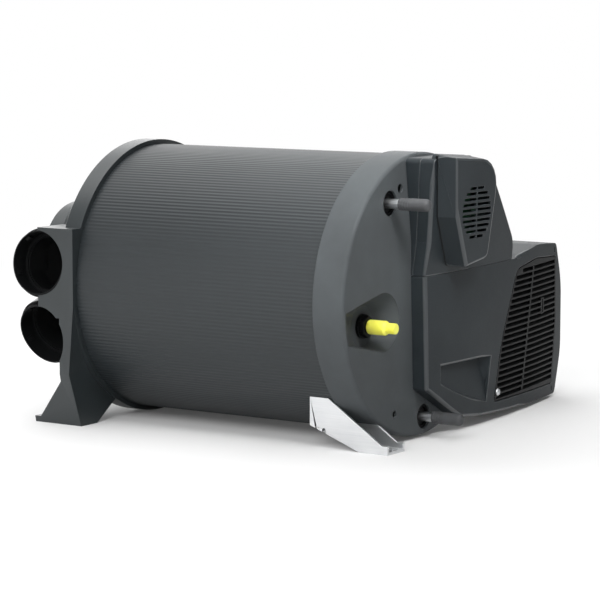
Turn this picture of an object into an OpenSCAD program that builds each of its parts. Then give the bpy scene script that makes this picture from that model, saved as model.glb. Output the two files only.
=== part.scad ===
// Combined warm-air and water heater for a caravan: a lying drum with duct outlets at its left end,
// water and gas connections and a fan box at its right end. Millimetres, floor at z = 0.
// The drum's axis runs along X, the front of the object faces -Y.

/* [Drum] */
// Radius over the ribs of the jacket
drum_r = 144; // [141:0.5:146]
// Length of jacket that shows between rim and connection ring
drum_len = 300; // [290:1:340]
// Height of the drum's axis above the floor
axis_z = 149.5; // [149.5:0.5:156]
// Wall of the jacket, ribs included
jacket_wall = 1.6; // [1.4:0.1:2.5]
// Depth of a rib
rib_depth = 0.6; // [0.3:0.1:0.9]
// Number of ribs round the jacket
rib_count = 224; // [120:4:240]
// Length of jacket hidden in the rim and in the ring
jacket_lap = 12; // [8:1:16]
// Thickness of the insulation
insulation_t = 4.2; // [3:0.1:6]

/* [Outlet end] */
// Step from the drum to the rim
rim_step = 5; // [3:0.1:5.4]
// Width of the rim
rim_w = 20.5; // [16:0.5:26]
// Depth of the air chamber beyond the rim
chamber_depth = 58; // [52:1:70]
// Half width of the chamber's box
chamber_half_w = 107; // [102:0.5:110]
// Half height of the chamber's box
chamber_half_h = 81; // [76:0.5:84]
// Corner radius of the chamber's box
chamber_corner = 65; // [50:1:70]
// Radius of the flank between rim and box where it meets the end wall
chamber_end_r = 90; // [84:1:94]
// Wall of the chamber
chamber_wall = 3; // [2.5:0.1:4]
// Inner radius of a duct socket
socket_r = 32.75; // [30:0.25:33]
// Wall of a duct socket
socket_wall = 1.6; // [1.4:0.1:1.6]
// Length of a duct socket
socket_len = 21; // [18:0.5:21]
// Distance of the socket axes from the rim's right face
socket_inset = 48.3; // [44:0.1:52]
// Distance across from the drum's axis to the mouth of an upper socket
mouth_upper = 148.2; // [146:0.2:152]
// Distance across from the drum's axis to the mouth of a lower socket
mouth_lower = 136; // [134:0.5:138]
// Height of an upper mouth over the drum's axis
mouth_up = 23.5; // [22:0.5:26]
// Depth of a lower mouth under the drum's axis
mouth_down = 54.5; // [53:0.5:58]
// Rise of the upper sockets
rise_upper = 6; // [4:0.5:7]
// Fall of the lower sockets
fall_lower = 20; // [16:0.5:20.5]
// Radius of the boss that holds a socket
boss_r = 37; // [36.5:0.25:38]
// Length of socket that stands out of its boss
boss_short = 6; // [4:0.5:8]

/* [Moulded feet] */
// Length of a foot along the drum
foot_len = 62; // [54:1:70]
// Depth of a foot's sole
sole_depth = 27; // [22:1:34]
// Thickness of the flange at the foot's end
flange_t = 6.5; // [5:0.5:9]
// Height of the column's waist
waist_z = 56; // [48:1:64]
// How far the foot draws in below the waist
foot_draw_in = 12; // [6:1:16]
// Radius of a floor screw hole
floor_hole_r = 2.75; // [2.25:0.25:3.25]

/* [Connection end] */
// Step from the drum to the connection ring
ring_step = 2.7; // [2:0.1:4]
// Width of the connection ring
ring_w = 36.5; // [34:0.5:42]
// Thickness of the end plate
plate_t = 3; // [2.5:0.1:4]
// Round of the ring's outer edge
ring_round = 4; // [2:0.5:6]
// Radius of a pipe hole
pipe_hole_r = 13; // [11:0.5:14]
// Radius of a water pipe
pipe_r = 5; // [4:0.5:5]
// Wall of a water pipe
pipe_wall = 1; // [0.8:0.1:1.5]
// Length of a water pipe beyond the end plate
pipe_reach = 39; // [34:1:50]
// Length of bare pipe between end plate and cap
pipe_bare = 12; // [8:1:16]
// Outer radius of a pipe cap
pipe_cap_r = 6.4; // [6.3:0.1:8]
// Closed length of a pipe cap past the pipe's end
pipe_cap_nose = 8; // [4:1:12]
// Radius of the gas recess at the end plate
dish_r = 30; // [28:0.5:32]
// Depth of the gas recess
dish_depth = 21; // [18:0.5:22]
// Radius of the gas recess at its floor
dish_floor_r = 21; // [18:0.5:24]
// Radius of the gas pipe
gas_r = 4; // [3:0.5:4]
// Length of the gas pipe beyond the end plate
gas_reach = 8; // [6:1:16]
// Radius of the gas nut across its corners
nut_r = 11.5; // [10:0.5:13]
// Length of the gas nut
nut_len = 8.5; // [8:0.5:12]
// Outer radius of the gas cap
gas_cap_r = 7.5; // [7:0.5:8.5]
// Radius of the gas cap's nose
gas_nose_r = 5.5; // [5:0.25:6.5]
// Length of the gas cap's nose
gas_nose_len = 10; // [8:0.5:14]

/* [Covers] */
// Wall of the covers
cover_wall = 2.5; // [2:0.1:3]
// Distance from the end plate to the cover's face at its left edge
cover_depth = 17.5; // [16:0.5:22]
// Radius of the covers' bowed face
face_r = 1700; // [1400:50:2200]
// Height of the seam between the upper and the lower cover
seam_z = 171; // [166:1:174]
// Lean of the upper cover's face
cover_lean = 8; // [6:0.5:9]
// Lean of the seam of the upper cover
seam_lean = 7.5; // [5:0.1:7.5]
// Height of the raised panel over the cover's face
panel_h = 20; // [14:0.5:24]
// Lean of the raised panel's left wall
panel_lean = 20; // [12:1:24]
// Radius of the round vent
vent_r = 29; // [24:0.5:30]
// Pitch of the vent's slots
vent_pitch = 5.7; // [5:0.1:7]
// Height of a vent slot
vent_slot = 3; // [2:0.1:3.6]
// Slant of the vent along the panel's left edge
vent_slant = 11.5; // [8:0.5:13]

/* [Fan box] */
// Rear plane of the fan box, measured from the ring's left edge
box_setback = 55; // [48:1:58]
// Plane where the box's halves meet, measured from the ring's left edge
box_split = 0; // [-6:1:6]
// Clearance between the box and the ring
box_clear = 5; // [4:0.5:8]
// Pitch of the grille's slots
slat_pitch = 6.2; // [5.6:0.1:7]
// Height of a grille slot
slat_slot = 4; // [3:0.1:4.4]
// Frame width of the grille
grille_frame = 3.5; // [3:0.5:6]
// Ledge that carries the grille
ledge_w = 4; // [3:0.5:5]
// Radius of the circulation fan wheel
fan_r = 62; // [50:1:64]
// Number of blades of the circulation fan wheel
fan_blades = 30; // [18:1:36]

/* [Metal foot] */
// Distance from the drum's axis to the metal foot's outer wall
metal_foot_y = 106; // [105:0.5:108]
// Width of the metal foot
metal_foot_w = 32; // [30:0.5:34]
// Wall of the metal foot
metal_foot_t = 3; // [2.5:0.1:3.5]
// Length of the metal foot beyond the end plate
metal_foot_reach = 26.5; // [24:0.5:30]

/* [Inside] */
// Inner radius of the water tank
tank_in_r = 60; // [56:0.5:62]
// Room between the water tank and the connection ring
tank_room = 85; // [80:1:100]
// Sheet thickness of the water tank
tank_t = 1.2; // [1:0.1:1.6]
// Radius of the combustion chamber
core_r = 30; // [28:0.5:32]
// Wall of the combustion chamber
core_wall = 3; // [2.5:0.1:3.5]
// Number of exchanger fins
fin_count = 24; // [12:1:30]
// Thickness of an exchanger fin
fin_t = 2; // [1.5:0.1:3]
// Radius of the burner tube
burner_r = 18; // [15:0.5:19]
// Radius of the combustion fan's casing
blower_r = 48; // [44:0.5:49]
// Radius of the exhaust spigot
exhaust_r = 27.5; // [25:0.5:28]
// Radius of the combustion air spigot
air_r = 40; // [38:0.5:40]
// Stroke of the gas valve's plunger
plunger_stroke = 2; // [1:0.5:2.5]

/* [Hidden] */
$fn = 96;
// Clearance between parts that are pushed together
seat_gap = 0.2;
// Radial clearance of a part that turns or slides on a shaft
run_gap = 0.05;
// Radial clearance of a pull-off cap
cap_gap = 0.35;
// Overshoot of a cutting body
over = 1;

// Stations along X
x_rim = -drum_len / 2;
x_left = x_rim - rim_w;
x_end = x_left - chamber_depth;
x_ring = drum_len / 2;
x_plate = x_ring + ring_w;
x_back = x_plate - plate_t;
x_face = x_plate + cover_depth;
x_box = x_ring - box_setback;
x_split = x_ring + box_split;
x_far = x_face + 80;
socket_x = x_rim - socket_inset;
tank_x = x_rim;
tank_len = drum_len - tank_room;
tank_end = tank_x + tank_len;
// Radii about the drum's axis
rim_r = drum_r + rim_step;
ring_r = drum_r + ring_step;
lap_r = drum_r + seat_gap;
jacket_in_r = drum_r - jacket_wall;
foam_r = jacket_in_r - seat_gap;
foam_in_r = foam_r - insulation_t;
tank_r = foam_in_r - seat_gap;
collar_r = socket_r + socket_wall;
// Planes across Y
front_y = rim_r + 1;
box_y = ring_r + box_clear;
face_y = -20;
// Places on the end plate, as [y, z] from the drum's axis
pipe_edge = 16.5;
hot_at = drum_r * [-0.4167, 0.6806];
cold_at = [drum_r * 0.052, pipe_edge - drum_r];
gas_at = drum_r * [-0.5556, -0.1771];
dish_at = drum_r * [-0.5, -0.1479];
sensor_hole_at = drum_r * [-0.2847, 0.7778];
screw_hole_at = drum_r * [-0.3472, -0.816];
window_at = drum_r * [0.4653, -0.3125];
// Fan places, as [y, z] from the drum's axis
fan_at = [248, -60];
// Gas line
dish_floor_x = x_plate - dish_depth;
gas_bend = 12;
gas_turn_x = dish_floor_x - plate_t - over;
nut_x = dish_floor_x + seat_gap;
gas_cap_x = nut_x + nut_len + seat_gap;
gas_end = x_plate + gas_reach;
gas_cap_end = gas_end + gas_nose_len + 2;
// Water line
pipe_end = x_plate + pipe_reach;
pipe_cap_x = x_plate + pipe_bare;
pipe_cap_end = pipe_end + pipe_cap_nose;
// Combustion side
flange_x = tank_end;
flange_len = 4;
flange_r = tank_in_r - 2;
blower_x = flange_x + flange_len;
blower_neck = 9;
blower_len = 30;
blower_wall = 2;
blower_motor_len = 30;
motor_x = blower_x + blower_neck + blower_len;
flue_flange_w = 4;
flue_clear = 6;
flue_x = x_ring - air_r - flue_flange_w - flue_clear;
flue_rise = 28;

// Outlines of the covers, as [y, z, corner radius], counter-clockwise
box_right = 348.5;
lower_outline = [
    [-15, 53, 3],
    [56, 15.5, 20],
    [103, 10, 30],
    [181, 6, 30],
    [box_right - 23, 3.5, 8],
    [box_right, 52, 60],
    [box_right, 130, 80],
    [box_right - 21, 175.5, 10],
    [262, 180, 60],
    [208, 174, 40],
    [190, seam_z - seat_gap, 0],
    [-20, seam_z - seat_gap, 0]
];
upper_outline = [
    [-20, seam_z, 0],
    [182, seam_z, 0],
    [178, seam_z + 21, 30],
    [99, 270, 20],
    [42, 292, 30],
    [-32, 292, 5],
    [-20, seam_z + 34, 30]
];
grille_outline = [
    [135.5, 20.5, 3],
    [315.5, 16.5, 6],
    [329, 88, 120],
    [326, 161.5, 5],
    [258, 165.5, 80],
    [197, 159, 26],
    [153.5, 83, 200]
];
panel_foot = [
    [19, 8, 6],
    [70, 16, 8],
    [70, 119.5, 36],
    [-28, 126.5, 4],
    [-12, 61, 40]
];
vent_at = [33.5, 66.7];
recess_outline = [
    [14, 57, 0],
    [54, 41, 0],
    [106, 27.5, 0],
    [117, 25, 0],
    [128, 72, 0],
    [13, 74.5, 0]
];
recess_depth = 9;

// Box of the whole object and its middle
y_max = box_right;
y_min = -mouth_upper - collar_r * sin(rise_upper);
panel_top = panel_foot[3][1] * sin(cover_lean) + panel_h * cos(cover_lean);
x_max = max(x_face + panel_top, pipe_cap_end);
x_min = min(socket_x - collar_r, x_end);
mid_x = (x_min + x_max) / 2;
mid_y = (y_min + y_max) / 2;

anthracite = "#3b3d3f";
black = "#1b1c1d";
steel = "#b9bcbe";
alloy = "#dcdedf";
foam = "#7d8184";

// Plane geometry
function flat(p) = [p[0], p[1]];
function unit(v) = v / norm(v);
function half_angle(a, b, c) = acos(unit(flat(a) - flat(b)) * unit(flat(c) - flat(b))) / 2;
// Centre of the fillet of radius r at corner b between a and c
function hub(a, b, c, r) =
    flat(b) + unit(unit(flat(a) - flat(b)) + unit(flat(c) - flat(b))) * r / sin(half_angle(a, b, c));
// Points of that fillet
function fillet(a, b, c, r, steps) =
    r <= 0 ? [flat(b)] :
    let (
        mid = hub(a, b, c, r),
        reach = r / tan(half_angle(a, b, c)),
        from = flat(b) + unit(flat(a) - flat(b)) * reach - mid,
        to = flat(b) + unit(flat(c) - flat(b)) * reach - mid,
        start = atan2(from[1], from[0]),
        turn = (atan2(to[1], to[0]) - start + 540) % 360 - 180
    )
    [for (i = [0:steps]) mid + r * [cos(start + turn * i / steps), sin(start + turn * i / steps)]];
// Outline with its corners rounded
function rounded(pts, steps = 6) =
    let (n = len(pts))
    [for (i = [0:n - 1]) each fillet(pts[(i + n - 1) % n], pts[i], pts[(i + 1) % n], pts[i][2], steps)];
// Outward normal of an edge of a counter-clockwise outline
function outward(a, b) =
    let (u = unit(flat(b) - flat(a)))
    [u[1], -u[0]];
// Outline moved inwards by d
function inset(pts, d) =
    let (n = len(pts))
    [for (i = [0:n - 1])
        let (
            p = outward(pts[(i + n - 1) % n], pts[i]),
            q = outward(pts[i], pts[(i + 1) % n]),
            move = (p + q) / (1 + p * q),
            bend = p[0] * q[1] - p[1] * q[0] > 0 ? -d : d,
            round = pts[i][2] > 0 ? max(0.1, pts[i][2] + bend) : 0
        )
        [pts[i][0] - d * move[0], pts[i][1] - d * move[1], round]];

// The object stands with the middle of its box over the origin
module placed() {
    translate([-mid_x, -mid_y, 0])
        children();
}

// A [y, z] outline swept from x0 to x1
module along_x(x0, x1) {
    translate([x0, 0, 0])
        rotate([90, 0, 90])
            linear_extrude(x1 - x0)
                children();
}

// An [x, z] outline swept from y0 to y1
module along_y(y0, y1) {
    translate([0, y1, 0])
        rotate([90, 0, 0])
            linear_extrude(y1 - y0)
                children();
}

// A [radius, x] profile turned about the drum's axis
module turned(pts) {
    translate([0, 0, axis_z])
        rotate([0, 90, 0])
            rotate_extrude()
                polygon(pts);
}

// A round bar along X at a place given from the drum's axis
module bar(x0, x1, r, at = [0, 0]) {
    translate([x0, at[0], axis_z + at[1]])
        rotate([0, 90, 0])
            cylinder(r = r, h = x1 - x0);
}

// A tube along X at a place given from the drum's axis
module tube(x0, x1, r, wall, at = [0, 0]) {
    difference() {
        bar(x0, x1, r, at);
        bar(x0 - over, x1 + over, r - wall, at);
    }
}

// A block from one corner to the other
module block(low, high) {
    translate(low)
        cube(high - low);
}

// Frame of a socket: its axis is +Z, its origin lies in the middle of its mouth
module upper_socket_frame(side) {
    translate([socket_x, side * mouth_upper, axis_z + mouth_up])
        rotate([side * (rise_upper - 90), 0, 0])
            children();
}

module lower_socket_frame(side) {
    translate([socket_x, side * mouth_lower, axis_z - mouth_down])
        rotate([-side * (fall_lower + 90), 0, 0])
            children();
}

// Frame of the flue: its axis is +Z, its foot lies on the drum's axis
module flue_frame() {
    translate([flue_x, 0, axis_z])
        rotate([flue_rise - 90, 0, 0])
            children();
}

// Frames of the screws that hold the metal foot
module foot_screw_frames() {
    for (x = [x_ring - 23, x_ring - 13])
        translate([x, 0, axis_z])
            rotate([180 - foot_angle, 0, 0])
                children();
}

// Everything behind the covers' bowed face, less a depth
module behind_face(depth) {
    translate([x_face - face_r, face_y, -over])
        rotate([0, 0, 180])
            cylinder(r = face_r - depth, h = 400, $fn = 720);
}

// The same for the leaning face of the upper cover
module behind_upper_face(depth) {
    translate([x_face, 0, seam_z])
        rotate([0, cover_lean, 0])
            translate([-face_r, face_y, -200])
                rotate([0, 0, 180])
                    cylinder(r = face_r - depth, h = 500, $fn = 720);
}

// Frame of the upper cover's leaning face: X out of the face, Y and Z on it
module upper_face_frame() {
    translate([x_face, 0, seam_z])
        rotate([0, cover_lean, 0])
            children();
}

// Everything on the plate's side of the upper cover's leaning seam
module below_seam(shift) {
    translate([x_plate + 2 + shift, 0, seam_z])
        rotate([0, seam_lean, 0])
            block([-60, -200, -60], [0, 400, 240]);
}

// Outlet end

// Front outline of a moulded foot with its column and its port block
function column_outline() = [
    [x_rim - foot_len, 0],
    [x_rim, 0],
    [x_rim - 6.5, waist_z],
    [x_rim, axis_z - 20],
    [x_rim, block_top],
    [socket_x + 1, block_top],
    [socket_x + 1, axis_z - 34],
    [x_left + 1.5, axis_z - 34],
    [x_left + 1.5, waist_z - 8],
    [x_rim - foot_len + 8, flange_t],
    [x_rim - foot_len, flange_t]
];
// Side outline of the same
function column_side() = [
    [-front_y + foot_draw_in, 0],
    [-front_y + foot_draw_in + sole_depth, 0],
    [-front_y / 2 + 10, waist_z / 2],
    [-front_y / 2 + 10, block_top],
    [-front_y, block_top],
    [-front_y, waist_z]
];
block_top = axis_z + mouth_up + collar_r + 3.65;
foot_hole_at = [x_rim - foot_len + 9, front_y - foot_draw_in - sole_depth / 2];

module foot_column() {
    intersection() {
        along_y(-front_y - over, 0)
            polygon(column_outline());
        along_x(x_end, x_rim + over)
            polygon(column_side());
    }
}

// Box of the chamber with rounded corners, taken in by d
module chamber_box(d, x0, x1) {
    w = chamber_half_w - d;
    h = chamber_half_h - d;
    r = chamber_corner - d;
    along_x(x0, x1)
        translate([0, axis_z]) {
            square([2 * w, 2 * (h - r)], center = true);
            square([2 * (w - r), 2 * h], center = true);
            for (y = [r - w, w - r])
                for (z = [r - h, h - r])
                    translate([y, z])
                        circle(r = r);
        }
}

// Hollow of the chamber, with the seat of the jacket
module chamber_space() {
    slant = 1.4 * chamber_wall;
    seat_x = x_rim - jacket_lap - seat_gap;
    turned([
        [0, x_end + chamber_wall],
        [chamber_end_r - slant, x_end + chamber_wall],
        [rim_r - 3 - slant, x_left],
        [rim_r - 3 - slant, seat_x],
        [lap_r, seat_x],
        [lap_r, x_rim + over],
        [0, x_rim + over]
    ]);
    chamber_box(chamber_wall, x_end + chamber_wall, x_left);
}

// Boss that holds a socket, from inside the chamber to near the mouth
module socket_boss() {
    translate([0, 0, -boss_reach])
        cylinder(r = boss_r, h = boss_reach - boss_short);
}

// Seat of a socket in its boss, with the air's way in and the duct's way out
module socket_seat() {
    translate([0, 0, -socket_len])
        cylinder(r = collar_r + seat_gap, h = socket_len + 40);
    translate([0, 0, -boss_reach - over])
        cylinder(r = socket_r - stop_w - over, h = boss_reach);
}

boss_reach = mouth_upper - chamber_half_w + 9;
stop_t = 2;
stop_w = 3;

module outlet_housing() {
    edge_round = 16;
    color(anthracite)
        placed()
            difference() {
                union() {
                    turned([
                        [0, x_end],
                        [chamber_end_r, x_end],
                        [rim_r - 3, x_left],
                        [rim_r, x_left],
                        [rim_r, x_rim],
                        [0, x_rim]
                    ]);
                    intersection() {
                        chamber_box(0, x_end, x_left + over);
                        turned(rounded([
                            [0, x_end, 0],
                            [chamber_half_w + 5, x_end, edge_round],
                            [chamber_half_w + 45, x_left + 2 * over, 0],
                            [0, x_left + 2 * over, 0]
                        ]));
                    }
                    foot_column();
                    mirror([0, 1, 0])
                        foot_column();
                    for (side = [-1, 1]) {
                        upper_socket_frame(side)
                            socket_boss();
                        lower_socket_frame(side)
                            socket_boss();
                    }
                }
                chamber_space();
                for (side = [-1, 1]) {
                    upper_socket_frame(side)
                        socket_seat();
                    lower_socket_frame(side)
                        socket_seat();
                    translate([foot_hole_at[0], side * foot_hole_at[1], -over])
                        cylinder(r = floor_hole_r, h = 40);
                }
            }
}

// Duct socket with the stop ring at its foot
module collar() {
    translate([0, 0, -socket_len])
        difference() {
            cylinder(r = collar_r, h = socket_len);
            translate([0, 0, -over])
                cylinder(r = socket_r - stop_w, h = socket_len);
            translate([0, 0, stop_t])
                cylinder(r = socket_r, h = socket_len);
        }
}

module outlet_collar_front_upper() {
    color(black)
        placed()
            upper_socket_frame(-1)
                collar();
}

module outlet_collar_front_lower() {
    color(black)
        placed()
            lower_socket_frame(-1)
                collar();
}

module outlet_collar_rear_upper() {
    color(black)
        placed()
            upper_socket_frame(1)
                collar();
}

module outlet_collar_rear_lower() {
    color(black)
        placed()
            lower_socket_frame(1)
                collar();
}

// Drum

module wall_holes() {
    flue_frame()
        cylinder(r = exhaust_r - 0.5 + seat_gap, h = 2 * drum_r);
    foot_screw_frames()
        cylinder(r = screw_r + seat_gap, h = 2 * drum_r);
}

module drum_jacket() {
    step = 180 / rib_count;
    color("#4a4e51")
        placed()
            difference() {
                along_x(x_rim - jacket_lap, x_ring + jacket_lap)
                    translate([0, axis_z])
                        polygon([for (i = [0:2 * rib_count - 1])
                            (drum_r - rib_depth * (i % 2)) * [cos(i * step), sin(i * step)]]);
                bar(x_rim - jacket_lap - over, x_ring + jacket_lap + over, jacket_in_r, $fn = 720);
                wall_holes();
            }
}

module insulation_shell() {
    color(foam)
        placed()
            difference() {
                tube(x_rim, x_ring, foam_r, insulation_t);
                wall_holes();
            }
}

module water_tank() {
    color(steel)
        placed()
            difference() {
                tube(tank_x, tank_end, tank_r, tank_r - tank_in_r);
                tube(tank_x + tank_t, tank_end - tank_t, tank_r - tank_t, tank_r - tank_in_r - 2 * tank_t);
                for (at = [hot_at, cold_at])
                    bar(tank_end - 5, tank_end + over, pipe_r + seat_gap, at);
                bar(tank_end - 5, tank_end + over, probe_r + seat_gap, probe_at);
            }
}

module heat_exchanger() {
    fin_reach = tank_in_r - seat_gap;
    color(alloy)
        placed()
            union() {
                tube(tank_x, tank_end, core_r, core_wall);
                bar(tank_x, tank_x + core_wall, core_r);
                intersection() {
                    tube(tank_x, tank_end, fin_reach, fin_reach - core_r + over);
                    translate([0, 0, axis_z])
                        for (i = [0:fin_count - 1])
                            rotate([i * 360 / fin_count, 0, 0])
                                block([tank_x, -fin_t / 2, core_r - over], [tank_end, fin_t / 2, fin_reach + over]);
                }
            }
}

burner_len = 90;
slot_rows = 6;

module burner_tube() {
    wall = 1.5;
    color(steel)
        placed()
            difference() {
                bar(flange_x - burner_len, flange_x, burner_r);
                bar(flange_x - burner_len + wall, flange_x + over, burner_r - wall);
                for (row = [0:slot_rows - 1])
                    for (turn = [0, 60, 120])
                        translate([flange_x - burner_len + 12 + row * 10, 0, axis_z])
                            rotate([turn, 0, 0])
                                cube([2, 12, 4 * burner_r], center = true);
            }
}

electrode_r = 2.4;
electrode_ring = burner_r + electrode_r + 1.5;
electrode_turns = [20, -20];

// Places of the two electrodes round the burner
module electrode_places() {
    translate([0, 0, axis_z])
        for (turn = electrode_turns)
            rotate([turn, 0, 0])
                translate([0, 0, electrode_ring - axis_z])
                    children();
}

module burner_flange() {
    color(steel)
        placed()
            difference() {
                bar(flange_x, flange_x + flange_len, flange_r);
                bar(flange_x - over, flange_x + flange_len + over, burner_r - 4);
                electrode_places()
                    bar(flange_x - over, flange_x + flange_len + over, electrode_r + seat_gap);
            }
}

module ignition_electrodes() {
    color("ivory")
        placed()
            electrode_places() {
                bar(flange_x - 8, flange_x + flange_len + 6, electrode_r);
                bar(flange_x - 40, flange_x - 8, electrode_r / 2);
            }
}

flue_out = 30;
flue_foot = 6;
flue_end = drum_r + flue_out + 12;
free_flue = 24;

module flue_air_spigot() {
    wall = 2;
    base = 3;
    color(black)
        placed()
            difference() {
                flue_frame()
                    difference() {
                        union() {
                            cylinder(r = air_r, h = drum_r + flue_out);
                            cylinder(r = air_r + flue_flange_w, h = drum_r + flue_foot);
                        }
                        translate([0, 0, drum_r + base])
                            difference() {
                                cylinder(r = air_r - wall, h = flue_out);
                                cylinder(r = exhaust_r + wall, h = flue_out / 2 - 2);
                            }
                        cylinder(r = exhaust_r - 0.5 + seat_gap, h = 2 * drum_r);
                    }
                bar(x_rim, x_plate, drum_r + seat_gap);
            }
}

module flue_exhaust_spigot() {
    wall = 1.5;
    inner_end = 62;
    color(steel)
        placed()
            flue_frame()
                difference() {
                    union() {
                        translate([0, 0, inner_end])
                            cylinder(r = exhaust_r - 0.5, h = flue_end - inner_end - over);
                        translate([0, 0, flue_end - free_flue])
                            cylinder(r = exhaust_r, h = free_flue);
                    }
                    cylinder(r = exhaust_r - wall, h = 2 * drum_r);
                }
}

// Connection end

dish_lip_r = ring_r - ring_round - 0.7;
dish_mouth_h = 15;
dish_mouth_depth = 4;

// Gas recess: a skewed cone down to the pipe, drawn out to the ring's edge in front
module dish(grow) {
    mouth_h = dish_mouth_h + grow;
    intersection() {
        hull() {
            translate([dish_floor_x - grow, gas_at[0], axis_z + gas_at[1]])
                rotate([0, 90, 0])
                    cylinder(r = dish_floor_r + grow, h = 1, $fn = 32);
            translate([x_plate - 1, dish_at[0], axis_z + dish_at[1]])
                rotate([0, 90, 0])
                    cylinder(r = dish_r + grow, h = 1, $fn = 32);
            translate([x_plate - dish_mouth_depth - grow, -ring_r, axis_z + dish_at[1]])
                block([0, 0, -mouth_h], [dish_mouth_depth + grow, 1, mouth_h]);
        }
        bar(x_ring, x_plate + 1, dish_lip_r + grow);
    }
}

module connection_end_cap() {
    dish_wall = 2.5;
    color("#47494b")
        placed()
            difference() {
                union() {
                    turned(rounded([
                        [0, x_back, 0],
                        [lap_r, x_back, 0],
                        [lap_r, x_ring, 0],
                        [ring_r, x_ring, 0],
                        [ring_r, x_plate, ring_round],
                        [0, x_plate, 0]
                    ]));
                    intersection() {
                        dish(dish_wall);
                        bar(x_ring + jacket_lap + over, x_plate, ring_r);
                    }
                }
                translate([over, 0, 0])
                    dish(0);
                dish(0);
                for (at = [hot_at, cold_at])
                    bar(x_ring, x_plate + over, pipe_hole_r, at);
                bar(x_ring, x_plate + over, 4.5, sensor_hole_at);
                bar(x_ring, x_plate + over, 3.5, screw_hole_at);
                bar(x_ring - over, x_plate, gas_r + seat_gap, gas_at);
                translate([x_back - over, window_at[0], axis_z + window_at[1]])
                    block([0, -37, -35], [plate_t + 2 * over, 37, 35]);
            }
}

hot_dip = 30;
cold_dip = 60;

module water_pipe(at, x0) {
    color(steel)
        placed()
            tube(x0, pipe_end, pipe_r, pipe_wall, at);
}

module hot_water_pipe() {
    water_pipe(hot_at, tank_end - hot_dip);
}

module cold_water_pipe() {
    water_pipe(cold_at, tank_end - cold_dip);
}

// Rubber grommet behind a pipe hole
module grommet(at) {
    lip = 2.5;
    color(black)
        placed()
            difference() {
                bar(x_back - 5, x_back, pipe_hole_r + lip, at);
                bar(x_back - 5 - over, x_back + over, pipe_r + seat_gap, at);
                bar(x_back - 2, x_back + over, pipe_hole_r - lip, at);
            }
}

module hot_pipe_grommet() {
    grommet(hot_at);
}

module cold_pipe_grommet() {
    intersection() {
        grommet(cold_at);
        placed()
            bar(x_ring, x_plate, lap_r - seat_gap);
    }
}

// Pull-off cap of a water pipe, with a domed nose and shallow rings
module pipe_cap(at) {
    bore = pipe_r + cap_gap;
    rings = 4;
    color("#4c4e50")
        placed()
            translate([0, at[0], axis_z + at[1]])
                rotate([0, 90, 0])
                    difference() {
                        rotate_extrude()
                            polygon(rounded([
                                [0, pipe_cap_x, 0],
                                [pipe_cap_r, pipe_cap_x, 0.5],
                                [pipe_cap_r, pipe_cap_end, 5],
                                [0, pipe_cap_end, 0]
                            ]));
                        translate([0, 0, pipe_cap_x - over])
                            cylinder(r = bore, h = pipe_end - pipe_cap_x + 2 * over);
                        for (i = [0:rings - 1])
                            translate([0, 0, pipe_cap_x + 2.5 + i * 3.2])
                                difference() {
                                    cylinder(r = pipe_cap_r + over, h = 1.2);
                                    translate([0, 0, -over])
                                        cylinder(r = pipe_cap_r - 0.3, h = 4);
                                }
                    }
}

module hot_pipe_cap() {
    pipe_cap(hot_at);
}

module cold_pipe_cap() {
    pipe_cap(cold_at);
}

valve_gap_y = 36;

module gas_inlet_pipe() {
    color(steel)
        placed()
            difference() {
                union() {
                    bar(gas_turn_x, gas_end, gas_r, gas_at);
                    translate([gas_turn_x, gas_at[0] + gas_bend, axis_z + gas_at[1]])
                        rotate([0, 0, 180])
                            rotate_extrude(angle = 90)
                                translate([gas_bend, 0])
                                    circle(r = gas_r);
                    translate([gas_turn_x - gas_bend, gas_at[0] + gas_bend, axis_z + gas_at[1]])
                        rotate([-90, 0, 0])
                            cylinder(r = gas_r, h = valve_gap_y - gas_bend);
                }
                bar(gas_end - 25, gas_end + over, gas_r - 1, gas_at);
            }
}

module gas_union_nut() {
    color(black)
        placed()
            difference() {
                union() {
                    translate([nut_x, gas_at[0], axis_z + gas_at[1]])
                        rotate([0, 90, 0])
                            cylinder(r = nut_r, h = nut_len, $fn = 6);
                    bar(nut_x, nut_x + 3, nut_r + 1, gas_at);
                }
                bar(nut_x - over, nut_x + nut_len + over, gas_r + run_gap, gas_at);
            }
}

module gas_cap() {
    bore = gas_r + cap_gap;
    ribs = 8;
    color("#e6e02f")
        placed()
            translate([0, gas_at[0], axis_z + gas_at[1]])
                rotate([0, 90, 0])
                    difference() {
                        rotate_extrude()
                            polygon(rounded([
                                [0, gas_cap_x, 0],
                                [gas_cap_r, gas_cap_x, 2],
                                [gas_cap_r, gas_cap_end - gas_nose_len - 2, 1.5],
                                [gas_nose_r, gas_cap_end - gas_nose_len, 0],
                                [gas_nose_r, gas_cap_end, 0.8],
                                [0, gas_cap_end, 0]
                            ]));
                        translate([0, 0, gas_cap_x - over])
                            cylinder(r = bore, h = gas_end - gas_cap_x + 2 * over);
                        for (i = [0:ribs - 1])
                            rotate([0, 0, i * 360 / ribs])
                                translate([gas_nose_r, 0, gas_cap_end - gas_nose_len / 2 + 1])
                                    cube([0.8, 1.4, gas_nose_len], center = true);
                    }
}

valve_size = [30, 34, 34];
valve_low = [gas_turn_x - gas_bend - 9, gas_at[0] + valve_gap_y, axis_z + gas_at[1] - 18];
coil_at = [gas_turn_x - gas_bend, valve_low[1] + 17];
coil_r = 12;
coil_h = 28;
plunger_r = 4;
plunger_len = 20;
feed_at = [valve_low[1] + 6, valve_low[2] + 4 - axis_z];
feed_r = 3;

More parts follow.
